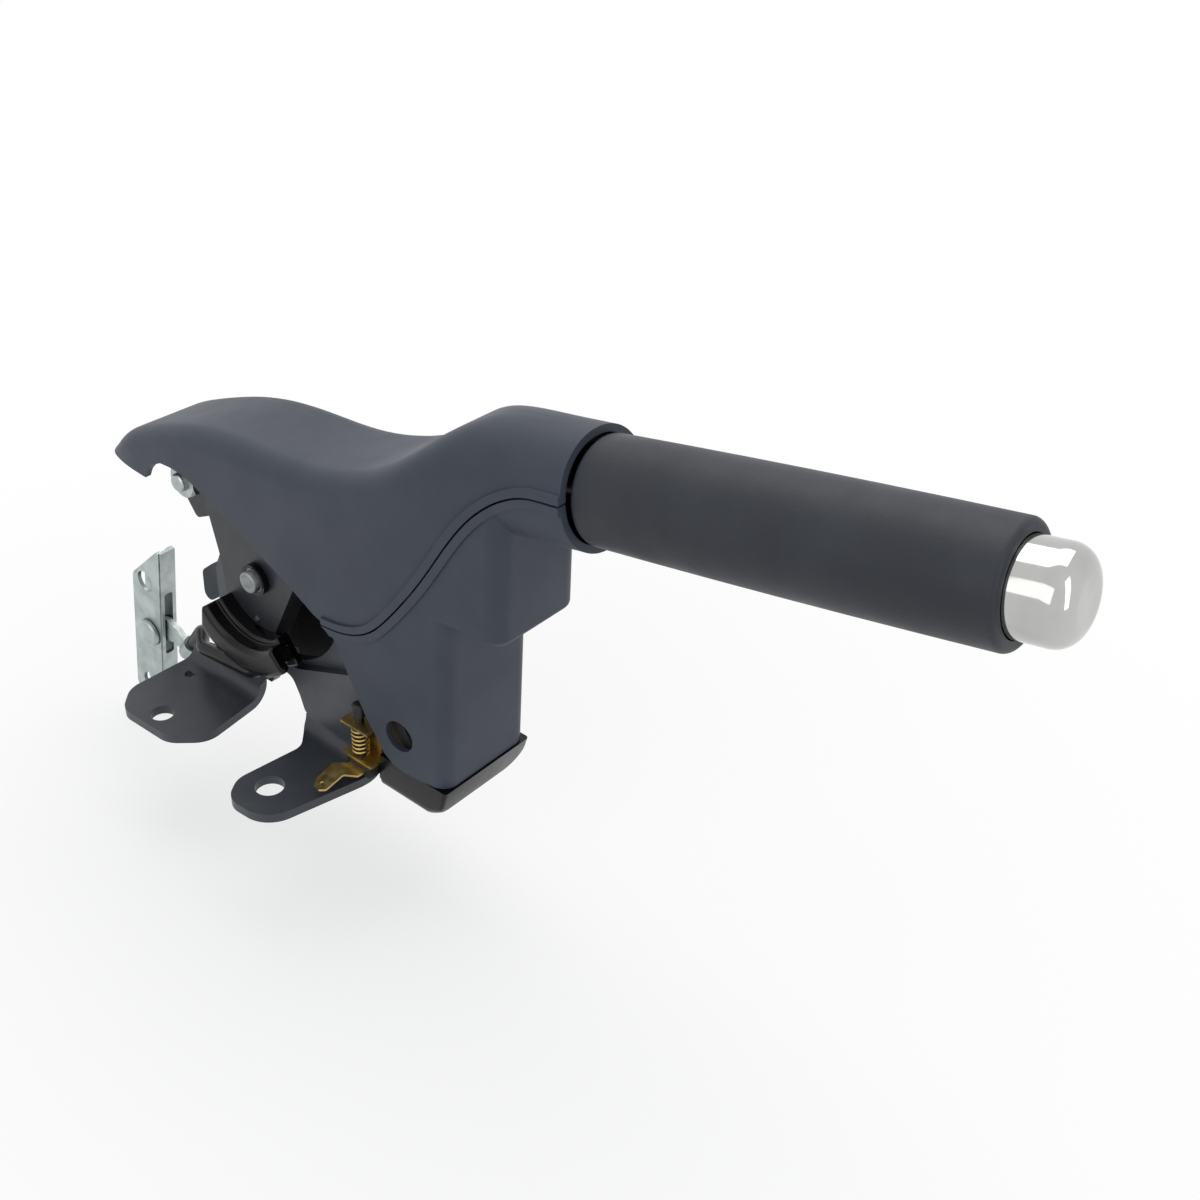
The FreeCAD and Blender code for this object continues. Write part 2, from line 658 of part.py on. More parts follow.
def pivot_pin():
    """Pivot rivet with its zinc head proud of the near side plate."""
    return chamfer_ends(PIVOT_X, PIVOT_Z, PIN_R, -23.6, FLANGE_Y + 0.9, 0.5)


def pivot_collar():
    """Dark shoulder ring behind the rivet's head."""
    ring = cross_rod(PIVOT_X, PIVOT_Z, PIN_R + 1.3, -FLANGE_Y - 2.4, -FLANGE_Y - GAP)
    return ring.cut(cross_rod(PIVOT_X, PIVOT_Z, PIN_R, -30, 0))


def pivot_bush():
    """Spacer bush between the bracket's towers, with the sector on it."""
    inner = TOWER_Y - PLATE
    tube = cross_rod(PIVOT_X, PIVOT_Z, PIN_R + 2.5, -inner, inner)
    return tube.cut(cross_rod(PIVOT_X, PIVOT_Z, PIN_R, -30, 30))


def window_cutter(y_from, y_to):
    """Sector-shaped window round the pivot hub that the folded edge swings through."""
    low = -95.0
    high = 50.0
    hub = HUB_R
    middle = (low + high) / 2
    outer = Part.Arc(at_pivot(WINDOW_R, low, y_from), at_pivot(WINDOW_R, middle, y_from),
                     at_pivot(WINDOW_R, high, y_from)).toShape()
    inner = Part.Arc(at_pivot(hub, high, y_from), at_pivot(hub, middle, y_from),
                     at_pivot(hub, low, y_from)).toShape()
    ends = [Part.makeLine(at_pivot(WINDOW_R, high, y_from), at_pivot(hub, high, y_from)),
            Part.makeLine(at_pivot(hub, low, y_from), at_pivot(WINDOW_R, low, y_from))]
    face = Part.Face(Part.Wire([outer, ends[0], inner, ends[1]]))
    return face.extrude(V(0, y_to - y_from, 0))


def tower():
    """Inner plate of one cheek that rises to the pivot."""
    inner = TOWER_Y - PLATE
    rear = side_plate([(-92.0, 12.0), (-92.0, 48.0), (-82.0, 68.0), (-66.0, 76.0),
                       (-52.0, 76.0), (-46.0, 66.0), (-46.0, 56.0), (-62.0, 44.0),
                       (-66.0, 30.0), (-58.0, 27.5), (-50.0, 29.0), (-24.0, 50.0),
                       (-8.0, 44.0), (-8.0, 28.0), (-20.0, 24.0), (-40.0, 22.0), (-52.0, 24.2),
                       (-62.0, 16.0), (-66.0, 9.0), (-72.0, 9.0)],
                      -TOWER_Y, -inner,
                      [4, 10, 10, 8, 6, 4, 0, 0, 0, 0, 0, 4, 4, 4, 0, 3, 3, 4, 1, 1])
    return rear.cut(window_cutter(-TOWER_Y - 1, -inner + 1))


def foot_outlines():
    """Plan outlines of the two bolt feet, with their rounded corners."""
    front = floor_plate([(-43.5, -13.0), (-43.5, -17.5), (-35.5, -26.0), (-38.5, -52.0),
                         (-33.0, -60.5), (-15.0, -59.5), (-7.0, -24.0), (-6.0, -13.0)], 0, 9,
                        [0, 5, 6, 9, 8, 12, 14, 0])
    rear = floor_plate([(-107.0, -13.0), (-107.2, -46.0), (-99.0, -54.8), (-75.0, -54.0),
                        (-64.5, -44.0), (-69.0, -13.0)], 0, 9, [0, 10, 8, 10, 10, 0])
    return front.fuse(rear)


def bent_edge():
    """Constant-thickness bend from the standing cheek to the flat foot."""
    centre_y = -CHEEK_Y - BEND_R
    centre_z = PLATE + BEND_R
    outer_r = BEND_R + PLATE
    x = -110.0
    inner_mid = BEND_R * math.sqrt(0.5)
    outer_mid = outer_r * math.sqrt(0.5)
    inner = Part.Arc(V(x, centre_y + BEND_R, centre_z),
                     V(x, centre_y + inner_mid, centre_z - inner_mid),
                     V(x, centre_y, centre_z - BEND_R)).toShape()
    outer = Part.Arc(V(x, centre_y, centre_z - outer_r),
                     V(x, centre_y + outer_mid, centre_z - outer_mid),
                     V(x, centre_y + outer_r, centre_z)).toShape()
    rest = Part.makePolygon([V(x, centre_y, centre_z - BEND_R), V(x, -62, PLATE), V(x, -62, 0),
                             V(x, centre_y, 0)])
    top = Part.makeLine(V(x, centre_y + outer_r, centre_z), V(x, centre_y + BEND_R, centre_z))
    wire = Part.Wire([inner] + rest.Edges + [outer, top])
    return Part.Face(wire).extrude(V(110.0, 0, 0))


def floor_bracket():
    """Pressed bracket: two cheeks with pivot towers, a front web and two bolt feet."""
    bend_top = PLATE + BEND_R
    near = side_plate([(18.0, 0.0), (18.0, 14.0), (4.0, 34.0), (-8.0, 42.2), (-46.0, 27.0),
                       (-60.0, 30.0), (-90.0, 24.0), (-93.0, 12.0), (-106.0, bend_top),
                       (-69.0, bend_top), (-62.8, 14.5), (-56.0, 21.5), (-50.0, 23.4),
                       (-45.9, 15.5), (-43.5, bend_top), (-6.0, bend_top), (-6.0, 0.0)],
                      -CHEEK_Y, -TOWER_Y,
                      [0, 8, 10, 2, 0, 0, 4, 4, 0, 0, 4, 5, 5, 6, 3, 0, 0])
    far = side_plate([(18.0, 0.0), (18.0, 14.0), (4.0, 34.0), (-8.0, 42.2), (-46.0, 27.0),
                      (-60.0, 30.0), (-90.0, 24.0), (-90.0, 12.0), (-62.8, 14.5),
                      (-56.0, 21.5), (-50.0, 23.4), (-45.3, 15.5), (-34.0, 0.0)],
                     TOWER_Y, CHEEK_Y, [0, 8, 10, 2, 0, 0, 4, 4, 4, 5, 5, 8, 4])
    feet = bent_edge().common(foot_outlines())
    web = block(WEB_REAR, WEB_FRONT, -TOWER_Y, TOWER_Y, 0, PLATE)
    body = near.fuse([far, feet, web, both_sides(tower())])
    holes = Part.makeCylinder(FRONT_BOLT_R, 10, V(FRONT_BOLT[0], FRONT_BOLT[1], -1))
    holes = holes.fuse(Part.makeCylinder(REAR_BOLT_R, 10, V(REAR_BOLT[0], REAR_BOLT[1], -1)))
    holes = holes.fuse(cross_rod(PIVOT_X, PIVOT_Z, PIN_R + RUN_FIT, -30, 30))
    notch = Part.makeCylinder(2.4, 10, V(-98.0, -25.4, -1))
    notch = notch.common(block(-101, -95, -30, -24.6, -1, 9))
    return body.cut(holes).cut(notch).removeSplitter()


def front_shoe():
    """Dark moulded shoe round the bracket's web that closes the lower cover's open base."""
    top = COVER_BASE - GAP
    half = 20.5
    rear = -0.9
    front_x = FRONT_BASE + 1.0
    corners = [V(rear, -half, top), V(rear, -half, GAP), V(rear, half, GAP), V(rear, half, top)]
    face = Part.Face(rounded_wire(corners, [0, 5.0, 9.0, 0]))
    shoe = face.extrude(V(front_x - rear, 0, 0))
    front = [e for e in shoe.Edges if e.BoundBox.XMin > front_x - 0.1]
    shoe = shoe.makeFillet(1.5, front)
    inner = CHEEK_Y + GAP
    hollow = block(rear - 1, FRONT_BASE - 1.4, -inner, inner, PLATE, top + 5)
    seat = block(rear - 1, WEB_FRONT, -inner, inner, -1, PLATE + 1)
    return shoe.cut(hollow).cut(seat)


def guide_ring(profile, start, end):
    """Ring sector about the pivot from (radius, y) corners, between two angles."""
    corners = [at_pivot(radius, start, y) for radius, y in profile]
    face = Part.Face(Part.makePolygon(corners + [corners[0]]))
    return face.revolve(V(PIVOT_X, 0, PIVOT_Z), V(0, -1, 0), end - start)


def cable_guide():
    """Grooved guide sector riveted to the near side plate, open outwards for the cable."""
    seat = -FLANGE_Y
    back = seat - GUIDE_PLATE
    core = GUIDE_ROOT + 1.6
    face = -GUIDE_FACE
    profile = [(GUIDE_ROOT - 2.0, seat), (GUIDE_R - 0.5, seat), (GUIDE_R, seat - 0.5),
               (GUIDE_R, back), (core, back), (core, face + 2.8), (GUIDE_R, face + 2.8),
               (GUIDE_R - 0.5, face + 1.2), (GUIDE_R - 2.2, face), (GUIDE_ROOT + 0.8, face),
               (GUIDE_ROOT, face + 0.8), (GUIDE_ROOT, face + 5.7), (GUIDE_ROOT - 2.0, face + 5.7)]
    guide = guide_ring(profile, -141.0, -45.0)
    rear = at_pivot(GUIDE_R + 2, -126.0)
    trim = side_plate([(rear.x, rear.z), (rear.x - 14, rear.z), (rear.x - 14, rear.z + 22),
                       (at_pivot(24.0, -142.0).x, at_pivot(24.0, -142.0).z)], -40, -10, 0)
    return guide.cut(trim).cut(guide_rivet_holes())


def guide_rivet_places():
    """Angles of the guide's three rivets."""
    return [-122.0, -92.0, -58.0]


def guide_rivet_holes():
    """Rivet holes through the guide's back plate and the side plate."""
    rods = []
    for angle in guide_rivet_places():
        place = at_pivot(28.5, angle)
        rods.append(cross_rod(place.x, place.z, 1.6, -22.0, -15.0))
    return rods[0].fuse(rods[1:])


def guide_rivets():
    """Small rivets in the groove that fix the guide."""
    seat = -FLANGE_Y - GUIDE_PLATE
    rivets = []
    for angle in guide_rivet_places():
        place = at_pivot(28.5, angle)
        rivets.append(cross_rod(place.x, place.z, 1.55, seat, -FLANGE_Y + FLANGE_T))
    return Part.makeCompound(rivets)


def rounded_path(points, bend):
    """Wire of straight runs joined by tangent arcs of one bend radius."""
    edges = []
    start = points[0]
    for i in range(1, len(points) - 1):
        here = points[i]
        back = (points[i - 1] - here).normalize()
        ahead = (points[i + 1] - here).normalize()
        half = math.acos(max(-1.0, min(1.0, back.dot(ahead)))) / 2
        reach = bend / math.tan(half)
        first = here + back * reach
        last = here + ahead * reach
        inward = (back + ahead).normalize()
        middle = here + inward * (bend / math.sin(half) - bend)
        edges.append(Part.LineSegment(start, first).toShape())
        edges.append(Part.Arc(first, middle, last).toShape())
        start = last
    edges.append(Part.LineSegment(start, points[-1]).toShape())
    return Part.Wire(edges)


def cable_points():
    """Corners of the cable's path from the eye's ferrule to its anchor in the guide."""
    groove_y = -FLANGE_Y - GUIDE_PLATE - CABLE_R - 0.6
    anchor = at_pivot(27.6, -52.0, groove_y)
    return [V(-119.5, -10.5, -3.5), V(-106.0, -12.4, 13.6), V(-95.0, -21.0, 14.8),
            V(-62.0, groove_y, 21.5), V(-46.5, groove_y, 33.5), anchor]


def brake_cable():
    """Sleeved cable from the ferrule to the groove, swept along its path."""
    points = cable_points()
    path = rounded_path(points, CABLE_BEND)
    heading = points[1] - points[0]
    circle = Part.Wire(Part.makeCircle(CABLE_R, points[0], heading))
    return path.makePipeShell([circle], True, True)


def cable_eye():
    """Flat eye on the equaliser's rivet with a crimped ferrule on the cable's end."""
    middle = (EQ_NEAR + EQ_FAR) / 2
    half = 1.2
    start = cable_points()[0]
    heading = (cable_points()[1] - start).normalize()
    ring = cross_rod(EQ_X, EQ_Z, 6.0, middle - half, middle + half)
    link = side_plate([(EQ_X + 2.0, EQ_Z - 3.0), (EQ_X + 1.0, EQ_Z + 5.6), (-131.5, 5.6),
                       (-125.0, 3.6), (start.x, start.z + 3.0), (start.x - 2.0, start.z - 3.0),
                       (-127.0, -3.6)], middle - half, middle + half, [0, 0, 3, 3, 0, 0, 3])
    ferrule = Part.makeCylinder(CABLE_R + 1.0, 9.0, start - heading * 3.0, heading)
    cable = Part.makeCylinder(CABLE_R + 0.02, 12.0, start, heading)
    bore = cross_rod(EQ_X, EQ_Z, 3.55, -30, 10)
    return ring.fuse([link, ferrule]).cut(cable).cut(bore).removeSplitter()


def tilted(shape):
    """Place a piece drawn upright about the equaliser's rivet at its hanging angle."""
    shape.translate(V(EQ_X, 0, EQ_Z))
    shape.rotate(V(EQ_X, 0, EQ_Z), V(0, 1, 0), EQ_TILT)
    return shape


def equaliser():
    """Folded equaliser bracket: two side plates, a windowed front web and cable holes."""
    outline = [(EQ_REAR, EQ_BASE + 6.0), (EQ_REAR, 24.4), (EQ_FRONT - 2.2, EQ_TOP),
               (EQ_FRONT, EQ_TOP), (EQ_FRONT, EQ_BASE), (EQ_REAR + 6.0, EQ_BASE)]
    radii = [4, 5, 1.5, 0, 2, 4]
    near = side_plate(outline, EQ_NEAR, EQ_NEAR + EQ_T, radii)
    far = side_plate(outline, EQ_FAR - EQ_T, EQ_FAR, radii)
    web = block(EQ_FRONT - EQ_T, EQ_FRONT, EQ_NEAR, EQ_FAR, EQ_BASE, EQ_TOP)
    folds = [e for e in web.Edges if e.BoundBox.ZLength > 50 and e.BoundBox.XMin > EQ_FRONT - 0.1]
    web = web.makeFillet(1.2, folds)
    window = block(EQ_FRONT - 9, EQ_FRONT + 5, EQ_NEAR + 1.6, EQ_FAR - 1.6, -8.0, 23.0)
    ends = [e for e in window.Edges if e.BoundBox.XLength > 13]
    window = window.makeFillet(1.2, ends)
    body = near.fuse(far).fuse(web).cut(window)
    for along, height in EQ_HOLES:
        body = body.cut(cross_rod(along, height, EQ_HOLE_R, -30, 10))
    body = body.cut(cross_rod(0, 0, 3.5 + RUN_FIT, -30, 10))
    trim = block(EQ_FRONT - 0.8, EQ_FRONT + 1, EQ_NEAR - 1, EQ_NEAR + 0.35, EQ_BASE, EQ_TOP)
    return tilted(body.cut(trim))


def equaliser_rivet():
    """Rivet of the equaliser with a domed head on the near side."""
    shank = cross_rod(0, 0, 3.5, EQ_NEAR - 0.4, EQ_FAR + 0.8)
    head = cross_rod(0, 0, 5.8, EQ_NEAR - 2.2, EQ_NEAR - GAP)
    rims = [e for e in head.Edges if e.BoundBox.YMax < EQ_NEAR - 2.1]
    head = head.makeFillet(1.2, rims)
    tail = cross_rod(0, 0, 5.0, EQ_FAR + GAP, EQ_FAR + 1.4)
    return tilted(shank.fuse([head, tail]).removeSplitter())


def switch_bracket():
    """Folded brass bracket: back plate on the cheek and two plates that guide the plunger."""
    x0 = SWITCH_X - 5.9
    x1 = SWITCH_X + 7.4
    back = -CHEEK_Y
    near = back - 7.8
    plate = block(x0 + 3.0, x1 - 1.0, back - SWITCH_T, back, SWITCH_BASE, SWITCH_TOP)
    top = block(x0, x1, near, back, SWITCH_TOP - SWITCH_T, SWITCH_TOP)
    base = block(x0, x1 + 0.8, near, back, SWITCH_BASE, SWITCH_BASE + SWITCH_T)
    body = plate.fuse([top, base])
    hole = Part.makeCylinder(1.6 + RUN_FIT, 30, V(SWITCH_X, SWITCH_Y, 5))
    return body.cut(hole).removeSplitter()


def switch_plunger():
    """Plunger with a dark button head above the bracket and a collar under its plate."""
    place = V(SWITCH_X, SWITCH_Y, SWITCH_BASE - 2.0)
    rod = Part.makeCylinder(1.6, 32.0 - place.z, place)
    head = Part.makeCylinder(2.4, 5.0, V(SWITCH_X, SWITCH_Y, 28.5))
    rims = [e for e in head.Edges if e.BoundBox.ZMin > 33.4]
    head = head.makeFillet(1.2, rims)
    collar = Part.makeCylinder(3.0, 0.8, V(SWITCH_X, SWITCH_Y, SWITCH_TOP - SWITCH_T - 1.0))
    return rod.fuse([head, collar]).removeSplitter()


def switch_spring():
    """Plunger return spring between the base plate and the collar."""
    base = SWITCH_BASE + SWITCH_T
    top = SWITCH_TOP - SWITCH_T - 1.0
    height = top - base - 2 * 0.45 - 0.1
    place = V(SWITCH_X, SWITCH_Y, base + 0.5)
    return coil(2.7, 0.45, 1.75, height, place, V(0, 0, 1))


def switch_insulator():
    """Dark insulating block under the switch that holds the spade terminal."""
    body = block(SWITCH_X - 3.5, SWITCH_X + 7.4, -CHEEK_Y - 7.8, -CHEEK_Y - 0.9, 6.4, SWITCH_BASE)
    slot = block(SWITCH_X - 2.9, SWITCH_X + 5.4, -30, -CHEEK_Y - 6.6, 8.1, 8.9)
    well = Part.makeCylinder(2.1, 10, V(SWITCH_X, SWITCH_Y, 5.0))
    return body.cut(slot).cut(well)


def switch_terminal():
    """Spade terminal: neck from the insulator and a flat blade with a small hole."""
    thickness = 0.8
    low = 8.1
    blade = floor_plate([(-16.0, -28.6), (-13.6, -38.4), (-12.0, -40.4), (-9.0, -41.2),
                         (-7.2, -39.4), (-8.6, -30.4), (-4.4, -27.6), (-4.4, -23.1),
                         (-11.6, -23.1), (-12.6, -25.6)], low, low + thickness,
                        [1.5, 1, 0, 1, 1, 1, 1, 0, 0, 1.5])
    hole = Part.makeCylinder(0.8, 5, V(-10.6, -38.0, 6))
    return blade.cut(hole)


def pivot_washer():
    """Thin washer between the near cheek's side plate and the rivet's far end."""
    ring = cross_rod(PIVOT_X, PIVOT_Z, PIN_R + 3.2, FLANGE_Y + GAP, FLANGE_Y + 0.8)
    return ring.cut(cross_rod(PIVOT_X, PIVOT_Z, PIN_R, -30, 30))


def build():
    """All pieces of the lever by node name."""
    return {
        "upper_cover": upper_cover(),
        "lower_cover": lower_cover(),
        "grip_sleeve": grip_sleeve(),
        "lever_tube": lever_tube(),
        "lever_channel": lever_channel().cut(guide_rivet_holes()),
        "tail_channel": tail_channel(),
        "tail_bolt": tail_bolt(),
        "tail_nut": tail_nut(),
        "tube_saddle": tube_saddle(),
        "release_button": release_button(),
        "release_rod": release_rod(),
        "rod_guide_rear": rod_guide(-30.0),
        "rod_guide_front": rod_guide(96.0),
        "button_spring": button_spring(),
        "pawl": pawl(),
        "pawl_pin": pawl_pin(),
        "pawl_spacer_near": pawl_spacer(True),
        "pawl_spacer_far": pawl_spacer(False),
        "pawl_spring": pawl_spring(),
        "ratchet_sector": ratchet_sector(),
        "pivot_pin": pivot_pin(),
        "pivot_collar": pivot_collar(),
        "pivot_bush": pivot_bush(),
        "pivot_washer": pivot_washer(),
        "floor_bracket": floor_bracket(),
        "front_shoe": front_shoe(),
        "cable_guide": cable_guide(),
        "guide_rivets": guide_rivets(),
        "brake_cable": brake_cable(),
        "cable_eye": cable_eye(),
        "equaliser": equaliser(),
        "equaliser_rivet": equaliser_rivet(),
        "switch_bracket": switch_bracket(),
        "switch_plunger": switch_plunger(),
        "switch_spring": switch_spring(),
        "switch_insulator": switch_insulator(),
        "switch_terminal": switch_terminal(),
    }


os.makedirs("parts", exist_ok=True)
for name, shape in build().items():
    shape.exportStep("parts/" + name + ".step")
    print(name, shape.isValid(), len(shape.Solids), round(shape.Volume, 1))
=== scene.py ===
import math

import bpy
import numpy as np
from mathutils import Matrix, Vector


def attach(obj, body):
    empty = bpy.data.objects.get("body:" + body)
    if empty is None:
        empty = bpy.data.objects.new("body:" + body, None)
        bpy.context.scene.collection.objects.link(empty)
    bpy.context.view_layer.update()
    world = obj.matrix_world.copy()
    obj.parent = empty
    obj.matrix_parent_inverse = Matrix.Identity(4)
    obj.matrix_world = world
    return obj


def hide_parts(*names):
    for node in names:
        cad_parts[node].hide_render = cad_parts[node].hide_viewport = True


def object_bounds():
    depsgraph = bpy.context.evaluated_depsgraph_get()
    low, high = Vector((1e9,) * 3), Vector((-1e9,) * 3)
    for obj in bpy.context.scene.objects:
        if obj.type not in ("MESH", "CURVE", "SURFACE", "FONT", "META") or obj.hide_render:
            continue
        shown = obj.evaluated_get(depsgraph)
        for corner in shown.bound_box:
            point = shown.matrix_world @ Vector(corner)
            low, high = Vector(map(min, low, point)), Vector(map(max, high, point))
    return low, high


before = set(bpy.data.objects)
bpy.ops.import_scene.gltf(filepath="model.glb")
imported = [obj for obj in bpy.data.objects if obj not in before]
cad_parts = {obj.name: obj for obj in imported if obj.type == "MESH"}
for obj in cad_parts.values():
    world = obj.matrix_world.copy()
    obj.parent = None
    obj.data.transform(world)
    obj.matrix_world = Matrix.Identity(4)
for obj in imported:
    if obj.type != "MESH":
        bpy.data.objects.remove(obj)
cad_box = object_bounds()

MM = 0.001

# Steps of an outline's arcs, and how CAD triangles merge and which of their edges stay crisp.
ARC_STEPS = 6
MERGE_DISTANCE = 2e-6
CRISP_DEGREES = 32
SPRING_CRISP_DEGREES = 75

# The floor: half its side, and how far it lies under the lowest piece, both in metres.
FLOOR_HALF = 3.0
FLOOR_DROP = 0.0005

# The shared frame: a point on the grip axis and its rise, and the button's sizes along it.
GRIP_POINT = np.array([68.0, 0.0, 138.5]) * MM
GRIP_RISE = math.radians(10.43)
GRIP_AXIS = np.array([math.cos(GRIP_RISE), 0.0, math.sin(GRIP_RISE)])
GRIP_UP = np.array([-math.sin(GRIP_RISE), 0.0, math.cos(GRIP_RISE)])
BUTTON_START = 120.2
BUTTON_END = 143.5
BUTTON_R = 12.35
BUTTON_NOSE = 6.5
BUTTON_ROOF = 141.0
BUTTON_HOLLOW = 10.35
BUTTON_FLAT = 2.5

# The lever's pivot, and the rivet through it: radii, ends, neck and the depth of its ring.
PIVOT = (-60.0, 60.0)
RIVET_R = 4.5
RIVET_HEAD_R = 4.0
RIVET_BACK = -19.5
RIVET_NECK = 20.7
RIVET_FACE = 23.6
RIVET_DISH = 0.18

# The cable guide: radii, depths across, angles in degrees, and how its ends are rounded.
GUIDE_BORE = 21.0
GUIDE_ROOT = 23.0
GUIDE_CORE = 24.6
GUIDE_MIDDLE = 27.0
GUIDE_RIM = 33.0
GUIDE_SEAT = -18.6
GUIDE_BACK = 2.0
GUIDE_FACE = -30.0
GUIDE_LIP = 2.8
GUIDE_STEP = 5.7
GUIDE_START = -141.0
GUIDE_START_RADIUS = 24.6875
GUIDE_START_GROWTH = 16.0 / 11.0
GUIDE_END = -45.0
GUIDE_END_FALL = 7.5
GUIDE_SECTIONS = 64
GUIDE_ROUNDED_SHARE = 0.03
GUIDE_ROUNDED_DRAW = 0.12

# The ratchet plate: its two faces, the height of its foot, and its teeth in degrees and radii.
PLATE_NEAR = -4.2
PLATE_FAR = -0.7
PLATE_FOOT = 3.6
TOOTH_TIP = 51.2
TOOTH_ROOT = 48.8
TOOTH_FIRST = -12.0
TOOTH_LIMIT = 44.0
TOOTH_PITCH = 4.0
TOOTH_RAKE = 3.0

# The shoe under the lower cover: its ends, widths, floor and brim, and its sloping front.
SHOE_REAR = -0.9
SHOE_FRONT = 30.3
SHOE_HALF = 20.5
SHOE_INNER = 16.8
SHOE_WALL = 2.4
SHOE_UNDER = 0.3
SHOE_FLOOR = 3.0
SHOE_BRIM = 15.7
SHOE_SLOPE_START = 20.0
SHOE_RISE = 4.7
SHOE_LEAN = 3.0
SHOE_CURVE = 1.4
SHOE_ROUND = 1.5
SHOE_NEAR_CORNER = 5.0
SHOE_FAR_CORNER = 10.0

# Camera of the photograph: place, heading, fall and roll, and its lens.
CAMERA_PLACE = (0.2891, -0.2765, 0.3377)
CAMERA_AZIMUTH = math.radians(37.85)
CAMERA_FALL = math.radians(33.82)
CAMERA_ROLL = math.radians(2.82)
CAMERA_LENS = 43.89


def linear(code):
    """Linear colour of an sRGB hex value such as '4a4d53'."""
    srgb = np.array([int(code[i:i + 2], 16) for i in (0, 2, 4)]) / 255
    low = srgb / 12.92
    high = ((srgb + 0.055) / 1.055) ** 2.4
    return (*np.where(srgb <= 0.04045, low, high), 1.0)


def add_node(tree, kind, settings=None, inputs=None):
    """One node with its settings; an input is a value, or a socket to link from."""
    node = tree.nodes.new(kind)
    for name, value in (settings or {}).items():
        setattr(node, name, value)
    for name, value in (inputs or {}).items():
        if isinstance(value, bpy.types.NodeSocket):
            tree.links.new(value, node.inputs[name])
        else:
            node.inputs[name].default_value = value
    return node


def blank_material(name, shader):
    """New material with one Principled shader, its constants set; returns both and a place."""
    material = bpy.data.materials.new(name)
    material.use_nodes = True
    tree = material.node_tree
    tree.nodes.clear()
    principled = add_node(tree, "ShaderNodeBsdfPrincipled", None, shader)
    output = add_node(tree, "ShaderNodeOutputMaterial")
    tree.links.new(principled.outputs["BSDF"], output.inputs["Surface"])
    place = add_node(tree, "ShaderNodeTexCoord").outputs["Object"]
    return material, tree, principled, place


def noise(tree, place, size_mm, detail=3.0, rough=0.5, stretch=None):
    """Fractal noise whose coarsest lumps are about size_mm across."""
    if stretch:
        place = add_node(tree, "ShaderNodeMapping", None,
                         {"Vector": place, "Scale": stretch}).outputs["Vector"]
    return add_node(tree, "ShaderNodeTexNoise", None, {
        "Vector": place, "Scale": 1.0 / (size_mm * MM), "Detail": detail,
        "Roughness": rough}).outputs["Fac"]


def ramp(tree, factor, low, high, start=0.35, end=0.65):
    """Blend between two values or colours as a factor goes from start to end."""
    node = add_node(tree, "ShaderNodeValToRGB", None, {"Fac": factor})
    node.color_ramp.elements[0].position = start
    node.color_ramp.elements[1].position = end
    node.color_ramp.elements[0].color = low if isinstance(low, tuple) else (low, low, low, 1)
    node.color_ramp.elements[1].color = high if isinstance(high, tuple) else (high, high, high, 1)
    return node.outputs["Color"]


def relief(tree, height, depth_mm, normal=None):
    """Bump of a stated depth from a height between 0 and 1."""
    inputs = {"Height": height, "Distance": depth_mm * MM}
    if normal is not None:
        inputs["Normal"] = normal
    return add_node(tree, "ShaderNodeBump", None, inputs).outputs["Normal"]


def surface(name, shader, dark, light, tone_mm, grain_mm, grain_depth, rough):
    """Material with slow colour variation, a fine grain and uneven gloss.

    A grain finer than about 0.3 mm wouldn't show, so finer real ones are drawn at that size.
    """
    material, tree, principled, place = blank_material(name, shader)
    tone = noise(tree, place, tone_mm, 4.0, 0.6)
    colour = ramp(tree, tone, linear(dark), linear(light))
    tree.links.new(colour, principled.inputs["Base Color"])
    grain = noise(tree, place, grain_mm, 2.0, 0.55)
    tree.links.new(relief(tree, grain, grain_depth), principled.inputs["Normal"])
    smears = noise(tree, place, tone_mm * 0.6, 3.0, 0.65)
    gloss = ramp(tree, smears, *rough, 0.3, 0.7)
    tree.links.new(gloss, principled.inputs["Roughness"])
    return material


def moulded_cover():
    """Polypropylene moulded against an etched tool: slate grey, satin, with a fine grain."""
    return surface("moulded_slate_polypropylene", {"IOR": 1.49, "Specular IOR Level": 0.28},
                   "3a3f49", "40454f", tone_mm=34.0, grain_mm=0.32, grain_depth=0.012,
                   rough=(0.46, 0.54))


def grip_skin():
    """Soft-touch sleeve, slush moulded: nearly black slate with a leather-like grain."""
    material, tree, principled, place = blank_material(
        "soft_touch_grip_skin", {"IOR": 1.5, "Specular IOR Level": 0.28})
    tone = noise(tree, place, 26.0, 4.0, 0.6)
    tree.links.new(ramp(tree, tone, linear("2d3036"), linear("33363c")),
                   principled.inputs["Base Color"])
    pebbles = add_node(tree, "ShaderNodeTexVoronoi", {"feature": "SMOOTH_F1"}, {
        "Vector": place, "Scale": 1.0 / (0.9 * MM), "Smoothness": 0.6}).outputs["Distance"]
    coarse = relief(tree, pebbles, 0.03)
    fine = relief(tree, noise(tree, place, 0.3, 2.0), 0.008, coarse)
    tree.links.new(fine, principled.inputs["Normal"])
    smears = noise(tree, place, 18.0, 3.0, 0.6)
    tree.links.new(ramp(tree, smears, 0.46, 0.56), principled.inputs["Roughness"])
    return material


def chrome_plate():
    """Bright chrome over a polished cap: a grey mirror with the faintest hairlines.

    The hairlines that polishing leaves are finer than the 0.25 mm at which they are drawn.
    """
    material, tree, principled, place = blank_material("bright_chrome_plate", {"Metallic": 1.0})
    tone = noise(tree, place, 12.0, 3.0)
    tree.links.new(ramp(tree, tone, linear("b2b3b0"), linear("bcbdba")),
                   principled.inputs["Base Color"])
    hairlines = noise(tree, place, 0.25, 2.0, 0.6, (1.0, 0.05, 1.0))
    tree.links.new(ramp(tree, hairlines, 0.07, 0.11), principled.inputs["Roughness"])
    return material


